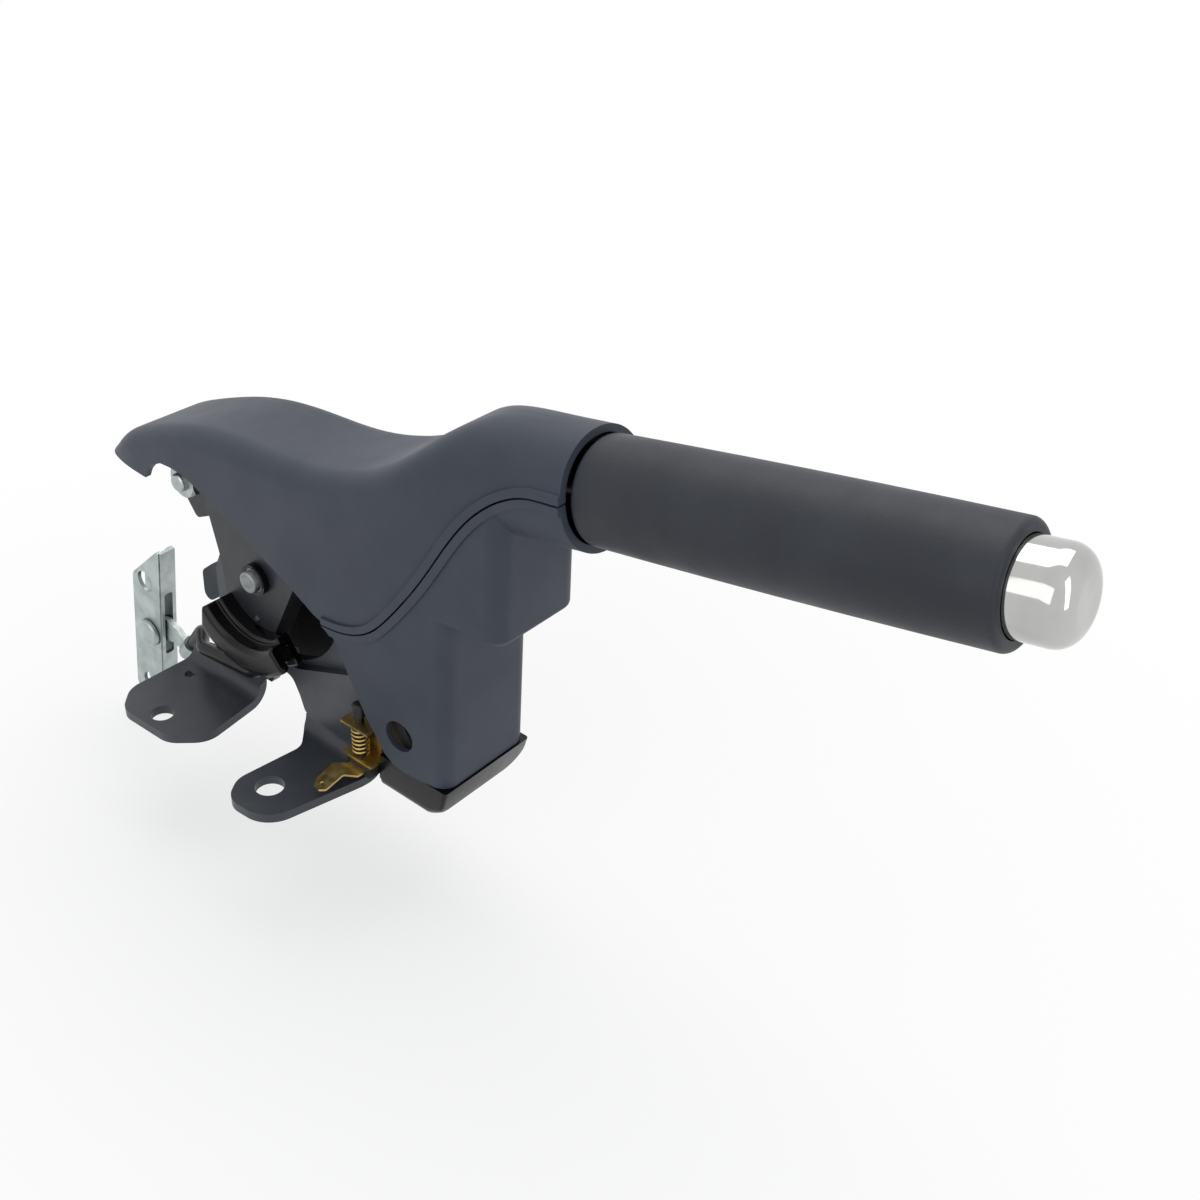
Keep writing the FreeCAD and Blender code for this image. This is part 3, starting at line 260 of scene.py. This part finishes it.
def electrocoat(name, dark, light, rough):
    """Electrocoated pressed steel: thin dark paint with a slight orange peel."""
    return surface(name, {"IOR": 1.5, "Specular IOR Level": 0.35, "Coat Weight": 0.1,
                          "Coat Roughness": 0.3},
                   dark, light, tone_mm=14.0, grain_mm=1.1, grain_depth=0.010, rough=rough)


def zinc_plate():
    """Clear zinc plating: pale bluish metal, a little cloudy, with fine drawing lines.

    The lines are drawn at 0.35 mm, coarser than drawing leaves them, so that they show.
    """
    material, tree, principled, place = blank_material("clear_zinc_plate", {"Metallic": 1.0})
    cloud = noise(tree, place, 9.0, 4.0, 0.65)
    tree.links.new(ramp(tree, cloud, linear("a0a9a9"), linear("bac2c2")),
                   principled.inputs["Base Color"])
    lines = noise(tree, place, 0.35, 2.0, 0.6, (1.0, 1.0, 0.08))
    tree.links.new(relief(tree, lines, 0.006), principled.inputs["Normal"])
    tree.links.new(ramp(tree, noise(tree, place, 4.0, 3.0), 0.3, 0.46),
                   principled.inputs["Roughness"])
    return material


def rivet_steel():
    """Cold-headed rivet, dull zinc: mid grey metal, evenly satin."""
    return surface("dull_zinc_rivet", {"Metallic": 1.0}, "858a8a", "959a99", tone_mm=5.0,
                   grain_mm=0.3, grain_depth=0.006, rough=(0.42, 0.55))


def yellow_passivate():
    """Yellow chromate over zinc: golden brown metal with a faint rose blush in patches."""
    material, tree, principled, place = blank_material("yellow_chromate_zinc", {"Metallic": 1.0})
    patches = noise(tree, place, 5.0, 4.0, 0.6)
    brassy = ramp(tree, patches, linear("a48c50"), linear("c8b074"), 0.3, 0.7)
    blush = ramp(tree, noise(tree, place, 3.2, 3.0, 0.6), 0.0, 0.18, 0.5, 0.75)
    mixed = add_node(tree, "ShaderNodeMix", {"data_type": "RGBA"}, {"Factor": blush})
    tree.links.new(brassy, mixed.inputs["A"])
    mixed.inputs["B"].default_value = linear("b0805a")
    tree.links.new(mixed.outputs["Result"], principled.inputs["Base Color"])
    tree.links.new(relief(tree, noise(tree, place, 0.5, 2.0), 0.006), principled.inputs["Normal"])
    tree.links.new(ramp(tree, noise(tree, place, 2.5, 3.0), 0.3, 0.42),
                   principled.inputs["Roughness"])
    return material


def gloss_black():
    """Dipped plastisol on the cable guide and shoe: deep black, wet looking, softly wavy."""
    return surface("dipped_gloss_black", {"IOR": 1.5, "Specular IOR Level": 0.2,
                                          "Coat Weight": 0.07, "Coat Roughness": 0.1},
                   "070709", "0c0c0f", tone_mm=10.0, grain_mm=3.5, grain_depth=0.04,
                   rough=(0.18, 0.28))


def ratchet_plate_painted_shade():
    """Electrocoat on the ratchet plate: grey at its rear corner, and painted near black forward of
    it as painted shade for the dark inside the covers.
    """
    material, tree, principled, place = blank_material(
        "electrocoat_painted_shade", {"IOR": 1.5, "Specular IOR Level": 0.2})
    along = add_node(tree, "ShaderNodeSeparateXYZ", None, {"Vector": place}).outputs["X"]
    # Painted shade: the colour turns from grey to near black between x = -0.1 m and -0.09 m,
    # towards the front.
    painted_shade = add_node(tree, "ShaderNodeMapRange", None, {
        "Value": along, "From Min": -0.1, "From Max": -0.09}).outputs["Result"]
    tree.links.new(ramp(tree, painted_shade, linear("43474c"), linear("070708"), 0.0, 1.0),
                   principled.inputs["Base Color"])
    tree.links.new(relief(tree, noise(tree, place, 1.1, 2.0), 0.01), principled.inputs["Normal"])
    smears = noise(tree, place, 6.0, 3.0, 0.6)
    tree.links.new(ramp(tree, smears, 0.45, 0.6), principled.inputs["Roughness"])
    return material


def cable_sleeve():
    """Extruded PVC sleeve of the cable: black, satin, with faint running marks."""
    return surface("extruded_pvc_sleeve", {"IOR": 1.52, "Specular IOR Level": 0.22},
                   "0a0a0c", "111113", tone_mm=8.0, grain_mm=0.6, grain_depth=0.01,
                   rough=(0.26, 0.4))


def bare_steel(name, dark, light, rough):
    """Oiled bright steel: turned, drawn or blanked, grey with a slight bloom."""
    return surface(name, {"Metallic": 1.0}, dark, light, tone_mm=6.0, grain_mm=0.3,
                   grain_depth=0.006, rough=rough)


def dark_moulding():
    """Phenolic block and plunger of the switch: matt black."""
    return surface("black_phenolic", {"IOR": 1.55, "Specular IOR Level": 0.4},
                   "101011", "17171a", tone_mm=5.0, grain_mm=0.4, grain_depth=0.012,
                   rough=(0.4, 0.6))


def guide_nylon():
    """Natural nylon bushes: milky, faintly see-through at the skin."""
    return surface("natural_nylon", {"IOR": 1.53, "Subsurface Weight": 0.1,
                                     "Subsurface Radius": (0.002, 0.002, 0.0015)},
                   "cfcbb8", "dedaca", tone_mm=8.0, grain_mm=0.5, grain_depth=0.01,
                   rough=(0.35, 0.5))


def dress(material, *nodes):
    """Give CAD nodes one material on all their faces."""
    for name in nodes:
        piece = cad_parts[name]
        piece.data.materials.clear()
        piece.data.materials.append(material)
        for polygon in piece.data.polygons:
            polygon.material_index = 0


def dress_nodes(black):
    """Materials of every carried-over CAD node; the black one is shared with other pieces."""
    painted = electrocoat("electrocoat_bracket", "3a3d43", "41454b", (0.36, 0.46))
    pressed = electrocoat("electrocoat_lever", "222429", "292c31", (0.34, 0.44))
    # Painted shade: a dark copy of the electrocoat for the tail channel and tube saddle, standing
    # in for the shade inside the covers.
    inner = electrocoat("electrocoat_inner_painted_shade", "222428", "2a2c30", (0.4, 0.5))
    zinc = zinc_plate()
    steel = bare_steel("oiled_drawn_steel", "77797b", "8e9092", (0.3, 0.42))
    hardened = bare_steel("hardened_steel", "4f5052", "626466", (0.34, 0.46))
    spring = bare_steel("spring_wire", "8b8a86", "a3a29d", (0.24, 0.34))
    yellow = yellow_passivate()
    dark = dark_moulding()
    dress(moulded_cover(), "upper_cover", "lower_cover")
    dress(grip_skin(), "grip_sleeve")
    dress(painted, "floor_bracket")
    dress(pressed, "lever_channel")
    dress(inner, "tail_channel", "tube_saddle")
    dress(zinc, "pivot_washer", "tail_bolt", "tail_nut", "equaliser",
          "equaliser_rivet", "cable_eye", "guide_rivets", "pawl_pin", "pawl_spacer_near",
          "pawl_spacer_far", "release_rod")
    dress(black, "pivot_collar")
    dress(cable_sleeve(), "brake_cable")
    dress(steel, "lever_tube", "pivot_bush")
    dress(hardened, "pawl")
    dress(spring, "button_spring", "pawl_spring")
    dress(yellow, "switch_bracket", "switch_terminal", "switch_spring")
    dress(dark, "switch_plunger", "switch_insulator")
    dress(guide_nylon(), "rod_guide_rear", "rod_guide_front")


def smooth_nodes():
    """Merge the CAD nodes' loose triangles and keep their sharper edges crisp."""
    for name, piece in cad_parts.items():
        piece.data.polygons.foreach_set("use_smooth", [True] * len(piece.data.polygons))
        weld = piece.modifiers.new("merge", "WELD")
        weld.merge_threshold = MERGE_DISTANCE
        split = piece.modifiers.new("crisp_edges", "EDGE_SPLIT")
        coiled = name.endswith("spring")
        split.split_angle = math.radians(SPRING_CRISP_DEGREES if coiled else CRISP_DEGREES)


def quarter_turn(start, end, centre_along, centre_out, radius, steps):
    """Points of an arc in (along, out), its angle running evenly from start to end degrees."""
    angle = np.radians(np.linspace(start, end, steps))
    return np.stack([centre_along + radius * np.cos(angle),
                     centre_out + radius * np.sin(angle)], axis=1)


def turned_piece(name, profile, origin, axis, up, steps=144):
    """Closed piece turned about an axis through an origin.

    A point of the profile lies along the axis and out from it. Its ring is the axis point plus
    the radius times the cosine of the turn upwards and its sine sideways. The first and the
    last point lie on the axis, each as one shared point closed by a fan.
    """
    turn = np.linspace(0.0, 2 * math.pi, steps, endpoint=False)
    spokes = np.cos(turn)[:, None] * up + np.sin(turn)[:, None] * np.cross(axis, up)
    along = profile[1:-1, 0] * MM
    out = profile[1:-1, 1] * MM
    centres = origin + along[:, None] * axis
    rings = centres[:, None, :] + out[:, None, None] * spokes[None, :, :]
    ends = origin + profile[[0, -1], 0][:, None] * MM * axis
    points = np.concatenate([rings.reshape(-1, 3), ends])
    here = np.arange(steps)
    after = (here + 1) % steps
    row = np.arange(len(along) - 1)[:, None] * steps
    quads = np.stack([row + here, row + after, row + steps + after, row + steps + here], axis=2)
    first = len(points) - 2
    last_row = (len(along) - 1) * steps
    fans = [(first, int(b), int(a)) for a, b in zip(here, after)]
    fans += [(first + 1, int(last_row + a), int(last_row + b)) for a, b in zip(here, after)]
    return smooth_object(name, points, quads.reshape(-1, 4).tolist() + fans, crisp=40)


def smooth_object(name, points, faces, crisp):
    """Object of the given points and faces, shaded smoothly except at edges over crisp degrees."""
    mesh = bpy.data.meshes.new(name)
    mesh.from_pydata(points.tolist(), [], faces)
    mesh.polygons.foreach_set("use_smooth", [True] * len(mesh.polygons))
    mesh.update()
    piece = bpy.data.objects.new(name, mesh)
    bpy.context.collection.objects.link(piece)
    split = piece.modifiers.new("crisp_edges", "EDGE_SPLIT")
    split.split_angle = math.radians(crisp)
    return piece


def rounded_outline(corners):
    """Closed outline, anticlockwise, from corners given as two coordinates and a radius.

    A rounded corner becomes an arc tangent to both its sides. Its centre lies on the corner's
    bisector, away from the corner by the radius over the sine of half the corner's angle, and
    the points turn evenly from one side to the other. A radius of 0 keeps the corner.
    """
    points = []
    for i, (across, upward, radius) in enumerate(corners):
        here = np.array([across, upward])
        back = np.array(corners[i - 1][:2]) - here
        ahead = np.array(corners[(i + 1) % len(corners)][:2]) - here
        back = back / np.linalg.norm(back)
        ahead = ahead / np.linalg.norm(ahead)
        if radius == 0:
            points.append(here)
            continue
        half = math.acos(float(back @ ahead)) / 2
        inward = (back + ahead) / np.linalg.norm(back + ahead)
        centre = here + inward * radius / math.sin(half)
        first = here + back * radius / math.tan(half) - centre
        last = here + ahead * radius / math.tan(half) - centre
        turn = math.pi - 2 * half
        share = np.linspace(0.0, 1.0, ARC_STEPS + 1)[:, None]
        points.extend(centre + (np.sin((1 - share) * turn) * first
                                + np.sin(share * turn) * last) / math.sin(turn))
    points = np.array(points)
    after = np.roll(points, -1, axis=0)
    area = np.sum(points[:, 0] * after[:, 1] - after[:, 0] * points[:, 1])
    return points if area > 0 else points[::-1]


def swept_piece(name, sections, crisp):
    """Closed piece through a row of sections of equal point count, a flat face at each end.

    Quads join each section's neighbours to the next section's, and the two ends are single
    faces, the first turned round to agree with the quads. All faces look outwards where the
    sections advance towards the side from which their outline runs anticlockwise, and inwards
    where they advance the other way.
    """
    rows, count = sections.shape[:2]
    here = np.arange(count)
    after = (here + 1) % count
    row = np.arange(rows - 1)[:, None] * count
    quads = np.stack([row + here, row + after, row + count + after, row + count + here], axis=2)
    caps = [here[::-1].tolist(), (here + (rows - 1) * count).tolist()]
    return smooth_object(name, sections.reshape(-1, 3), quads.reshape(-1, 4).tolist() + caps,
                         crisp)


def chrome_button():
    """Release button turned in one smooth sweep: hollow skirt, side, rounded nose, flat end."""
    nose = quarter_turn(90, 0, BUTTON_END - BUTTON_NOSE, BUTTON_R - BUTTON_NOSE, BUTTON_NOSE,
                        steps=20)
    profile = np.concatenate([
        [(BUTTON_ROOF, 0.0), (BUTTON_ROOF, BUTTON_HOLLOW), (BUTTON_START, BUTTON_HOLLOW),
         (BUTTON_START, BUTTON_R)],
        nose, [(BUTTON_END, BUTTON_FLAT), (BUTTON_END, 0.0)]])
    piece = turned_piece("chrome_button", profile, GRIP_POINT, GRIP_AXIS, GRIP_UP)
    piece.data.materials.append(chrome_plate())
    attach(piece, "button")
    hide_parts("release_button")


def pivot_rivet():
    """Pivot rivet: long shank, and a satin head with a shallow dished ring on its face."""
    profile = np.array([
        (RIVET_BACK, 0.0), (RIVET_BACK, RIVET_R - 0.4), (RIVET_BACK + 0.4, RIVET_R),
        (RIVET_NECK, RIVET_R), (RIVET_NECK + 0.1, RIVET_HEAD_R), (RIVET_FACE - 0.5, RIVET_HEAD_R),
        (RIVET_FACE - 0.2, RIVET_HEAD_R - 0.15), (RIVET_FACE, RIVET_HEAD_R - 0.5),
        (RIVET_FACE, 2.9), (RIVET_FACE - RIVET_DISH, 2.6), (RIVET_FACE - RIVET_DISH, 1.7),
        (RIVET_FACE - 0.05, 1.4), (RIVET_FACE - 0.05, 0.0)])
    origin = np.array([PIVOT[0], 0.0, PIVOT[1]]) * MM
    piece = turned_piece("pivot_rivet", profile, origin, np.array([0.0, -1.0, 0.0]),
                         np.array([0.0, 0.0, 1.0]), steps=96)
    piece.data.materials.append(rivet_steel())
    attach(piece, "bracket")
    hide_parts("pivot_pin")


def rolled_guide(material):
    """Cable guide with full round lips, swept about the pivot.

    The outline lies in radius and depth. Each of its points turns about the pivot from a start
    angle that grows with its radius to an end angle that falls from the near lip to the back
    plate, in even steps. Near both ends the outline draws in towards its middle along a
    quarter circle, which rounds the ends.
    """
    groove_near = GUIDE_FACE + GUIDE_LIP
    groove_far = GUIDE_SEAT - GUIDE_BACK
    step = GUIDE_FACE + GUIDE_STEP
    outline = rounded_outline([
        (GUIDE_BORE, GUIDE_SEAT, 0), (GUIDE_RIM, GUIDE_SEAT, 0.4), (GUIDE_RIM, groove_far, 0.8),
        (GUIDE_CORE, groove_far, 1.0), (GUIDE_CORE, groove_near, 1.0),
        (GUIDE_RIM, groove_near, 0.8), (GUIDE_RIM, GUIDE_FACE + 0.8, 0.8),
        (31.2, GUIDE_FACE, 3.0), (24.4, GUIDE_FACE, 2.6), (GUIDE_ROOT, GUIDE_FACE + 1.5, 0.9),
        (GUIDE_ROOT, step, 0.5), (GUIDE_BORE, step, 1.3)])
    share = np.linspace(0.0, 1.0, GUIDE_SECTIONS)[:, None]
    growth = GUIDE_START_GROWTH * np.maximum(0.0, outline[:, 0] - GUIDE_START_RADIUS)
    start = GUIDE_START + growth
    depth = np.clip((outline[:, 1] - groove_near) / (groove_far - groove_near), 0.0, 1.0)
    end = GUIDE_END - GUIDE_END_FALL * depth
    angle = np.radians(start + share * (end - start))
    edge = np.clip(1.0 - np.minimum(share, 1.0 - share) / GUIDE_ROUNDED_SHARE, 0.0, 1.0)
    draw = GUIDE_ROUNDED_DRAW * (1.0 - np.sqrt(1.0 - edge ** 2))
    radius = outline[:, 0] + draw * (GUIDE_MIDDLE - outline[:, 0])
    across = outline[:, 1] + draw * (GUIDE_SEAT - 0.5 * (outline[:, 1] < groove_far)
                                     - outline[:, 1]) * 0.5
    sections = np.stack([PIVOT[0] + radius * np.cos(angle), across,
                         PIVOT[1] + radius * np.sin(angle)], axis=2) * MM
    piece = swept_piece("rolled_guide", sections, crisp=50)
    piece.data.materials.append(material)
    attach(piece, "lever")
    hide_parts("cable_guide")


def ratchet_plate():
    """Blanked ratchet plate: foot, body and a rim of teeth that rake towards the grip's rise.

    Each tooth runs from a root on the inner circle to a tip on the outer one, three quarters
    of a pitch on.
    """
    teeth = []
    for degrees in np.arange(TOOTH_FIRST, TOOTH_LIMIT, TOOTH_PITCH):
        for radius, turn in ((TOOTH_ROOT, degrees), (TOOTH_TIP, degrees + TOOTH_RAKE)):
            angle = math.radians(turn)
            teeth.append((PIVOT[0] + radius * math.cos(angle),
                          PIVOT[1] + radius * math.sin(angle), 0))
    front = [(-103.0, 26.0, 5), (-84.0, 34.0, 8), (-70.0, 18.0, 6), (-57.0, 13.0, 5),
             (-40.0, 13.0, 6), (-20.0, PLATE_FOOT, 0), (14.0, PLATE_FOOT, 0), (14.0, 12.0, 2),
             (-19.0, 36.0, 4)]
    back = [(-47.0, 74.0, 3), (-66.0, 74.5, 6), (-78.0, 68.0, 8), (-97.0, 46.0, 6),
            (-107.0, 38.5, 4), (-113.5, 33.0, 4), (-114.0, 17.5, 3)]
    outline = rounded_outline(front + teeth + back)
    sections = np.stack([np.stack([outline[:, 0], np.full(len(outline), depth),
                                   outline[:, 1]], axis=1)
                         for depth in (PLATE_FAR, PLATE_NEAR)]) * MM
    piece = swept_piece("ratchet_plate", sections, crisp=30)
    # The plate's forward part carries painted shade, near black; its rear corner keeps the grey
    # electrocoat.
    piece.data.materials.append(ratchet_plate_painted_shade())
    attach(piece, "bracket")
    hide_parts("ratchet_sector")


def sloped_shoe(material):
    """Dark shoe round the bracket's web: two walls and a floor, and a closed sloping front.

    Every section is an outline in width and height. Forward of the slope's start, a point's
    share is its depth under the brim over the whole depth, and the advance runs from 0 to 1 at
    the front. The point rises by the share times the rise times the advance to the power of
    the curve, and moves back by the share times the lean times the advance. The front's last
    sections draw in along a quarter circle. The sections run from the front to the rear, so
    the faces of both pieces look inwards.
    """
    outer = [(-SHOE_HALF, SHOE_BRIM, 0), (-SHOE_HALF, SHOE_UNDER, SHOE_NEAR_CORNER),
             (SHOE_HALF, SHOE_UNDER, SHOE_FAR_CORNER), (SHOE_HALF, SHOE_BRIM, 0)]
    inner = [(SHOE_INNER, SHOE_BRIM, 0), (SHOE_INNER, SHOE_FLOOR, 0),
             (-SHOE_INNER, SHOE_FLOOR, 0), (-SHOE_INNER, SHOE_BRIM, 0)]
    depth = SHOE_BRIM - SHOE_UNDER

    def section(outline, along, inset=0.0):
        across = outline[:, 0] * (1.0 - inset / SHOE_HALF)
        under = (SHOE_BRIM - outline[:, 1]) * (1.0 - inset / depth)
        share = under / depth
        advance = max(0.0, (along - SHOE_SLOPE_START) / (SHOE_FRONT - SHOE_SLOPE_START))
        return np.stack([along - share * SHOE_LEAN * advance, across,
                         SHOE_BRIM - under + share * SHOE_RISE * advance ** SHOE_CURVE], axis=1)

    wall_end = SHOE_FRONT - SHOE_WALL
    walls = rounded_outline(outer + inner)
    closed = rounded_outline(outer)
    wall_places = [SHOE_REAR, *np.linspace(SHOE_SLOPE_START, wall_end, 8)]
    turns = np.radians(np.linspace(0.0, 80.0, 7))
    front = [(wall_end, 0.0)] + [(SHOE_FRONT - SHOE_ROUND * (1 - math.sin(t)),
                                  SHOE_ROUND * (1 - math.cos(t))) for t in turns]
    rows = np.stack([section(walls, place) for place in wall_places])[::-1] * MM
    rows_front = np.stack([section(closed, place, inset) for place, inset in front])[::-1] * MM
    for name, part in (("shoe_walls", rows), ("shoe_front", rows_front)):
        piece = swept_piece(name, part, crisp=35)
        piece.data.materials.append(material)
        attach(piece, "bracket")
        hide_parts("front_shoe")


def seen_directly(tree):
    """Share of rays that meet the white room itself: from the camera, a mirror or through glass."""
    path = add_node(tree, "ShaderNodeLightPath")
    mirror = add_node(tree, "ShaderNodeMath", {"operation": "MAXIMUM"}, {
        0: path.outputs["Is Camera Ray"], 1: path.outputs["Is Glossy Ray"]})
    return add_node(tree, "ShaderNodeMath", {"operation": "MAXIMUM"}, {
        0: mirror.outputs["Value"], 1: path.outputs["Is Transmission Ray"]}).outputs["Value"]


def pale_floor():
    """Plain pale floor under the lowest piece; away from the part the camera sees it white."""
    low = cad_box[0][2] - FLOOR_DROP
    corners = [(FLOOR_HALF * x, FLOOR_HALF * y, low)
               for x, y in ((-1, -1), (1, -1), (1, 1), (-1, 1))]
    mesh = bpy.data.meshes.new("floor")
    mesh.from_pydata(corners, [], [(0, 1, 2, 3)])
    floor = bpy.data.objects.new("floor", mesh)
    bpy.context.collection.objects.link(floor)
    material, tree, principled, place = blank_material(
        "pale_floor_paint", {"Roughness": 0.9, "Specular IOR Level": 0.1})
    colour = ramp(tree, noise(tree, place, 400.0), linear("f6f6f6"), linear("f9f9f9"))
    tree.links.new(colour, principled.inputs["Base Color"])
    away = add_node(tree, "ShaderNodeVectorMath", {"operation": "LENGTH"}, {0: place})
    far = add_node(tree, "ShaderNodeMapRange", {"interpolation_type": "SMOOTHSTEP"},
                   {"Value": away.outputs["Value"], "From Min": 0.1, "From Max": 0.42,
                    "To Min": 0.66, "To Max": 1.0})
    share = add_node(tree, "ShaderNodeMath", {"operation": "MULTIPLY"},
                     {0: far.outputs["Result"], 1: seen_directly(tree)})
    white = add_node(tree, "ShaderNodeEmission", None,
                     {"Color": (1.0, 1.0, 1.0, 1.0), "Strength": 1.0})
    mix = add_node(tree, "ShaderNodeMixShader", None, {0: share.outputs["Value"]})
    tree.links.new(principled.outputs["BSDF"], mix.inputs[1])
    tree.links.new(white.outputs["Emission"], mix.inputs[2])
    output = next(n for n in tree.nodes if n.type == "OUTPUT_MATERIAL")
    tree.links.new(mix.outputs["Shader"], output.inputs["Surface"])
    mesh.materials.append(material)


def studio_world():
    """Even white room, white to the camera and a little dimmer as a light."""
    world = bpy.data.worlds.new("studio")
    bpy.context.scene.world = world
    world.use_nodes = True
    tree = world.node_tree
    tree.nodes.clear()
    lights = add_node(tree, "ShaderNodeBackground", None,
                      {"Color": (0.9, 0.95, 1.0, 1.0), "Strength": 0.45})
    seen = add_node(tree, "ShaderNodeBackground", None,
                    {"Color": (1.0, 1.0, 1.0, 1.0), "Strength": 1.0})
    mix = add_node(tree, "ShaderNodeMixShader", None, {"Fac": seen_directly(tree)})
    tree.links.new(lights.outputs["Background"], mix.inputs[1])
    tree.links.new(seen.outputs["Background"], mix.inputs[2])
    output = add_node(tree, "ShaderNodeOutputWorld")
    tree.links.new(mix.outputs["Shader"], output.inputs["Surface"])


def soft_box(name, place, aim, size, power, tint=(1.0, 1.0, 1.0)):
    """Rectangular studio lamp at a place, turned towards its aim."""
    lamp = bpy.data.lights.new(name, "AREA")
    lamp.shape = "RECTANGLE"
    lamp.size, lamp.size_y = size
    lamp.energy = power
    lamp.color = tint
    box = bpy.data.objects.new(name, lamp)
    bpy.context.collection.objects.link(box)
    away = np.array(place) - np.array(aim)
    away = away / np.linalg.norm(away)
    side = np.cross((0.0, 0.0, 1.0), away)
    side = side / np.linalg.norm(side)
    up = np.cross(away, side)
    turn = Matrix((side, up, away)).transposed().to_4x4()
    box.matrix_world = Matrix.Translation(place) @ turn


def studio_lights():
    """Broad overhead box behind the part, a front fill and a side strip for the metal."""
    aim = (0.03, 0.0, 0.09)
    soft_box("overhead_box", (-0.1, 0.35, 1.1), aim, (1.2, 0.9), 8.7, (1.0, 0.97, 0.92))
    soft_box("front_fill", (0.1, -1.2, 0.7), aim, (1.2, 0.8), 3.3)
    soft_box("side_strip", (1.1, -0.1, 0.5), aim, (0.3, 0.9), 1.4)


def photo_camera():
    """Camera at the photograph's place and angle."""
    look = np.array([-math.sin(CAMERA_AZIMUTH) * math.cos(CAMERA_FALL),
                     math.cos(CAMERA_AZIMUTH) * math.cos(CAMERA_FALL),
                     -math.sin(CAMERA_FALL)])
    level = np.array([math.cos(CAMERA_AZIMUTH), math.sin(CAMERA_AZIMUTH), 0.0])
    upright = np.cross(level, look)
    right = level * math.cos(CAMERA_ROLL) + upright * math.sin(CAMERA_ROLL)
    up = -level * math.sin(CAMERA_ROLL) + upright * math.cos(CAMERA_ROLL)
    data = bpy.data.cameras.new("photo_camera")
    data.sensor_width = 36.0
    data.lens = CAMERA_LENS
    data.clip_start = 0.01
    camera = bpy.data.objects.new("photo_camera", data)
    bpy.context.collection.objects.link(camera)
    turn = Matrix((right, up, -look)).transposed().to_4x4()
    camera.matrix_world = Matrix.Translation(CAMERA_PLACE) @ turn
    bpy.context.scene.camera = camera


photo_camera()
pale_floor()
studio_world()
studio_lights()
black = gloss_black()
dress_nodes(black)
rolled_guide(black)
sloped_shoe(black)
chrome_button()
pivot_rivet()
ratchet_plate()
smooth_nodes()
bpy.context.scene.view_settings.view_transform = "Standard"
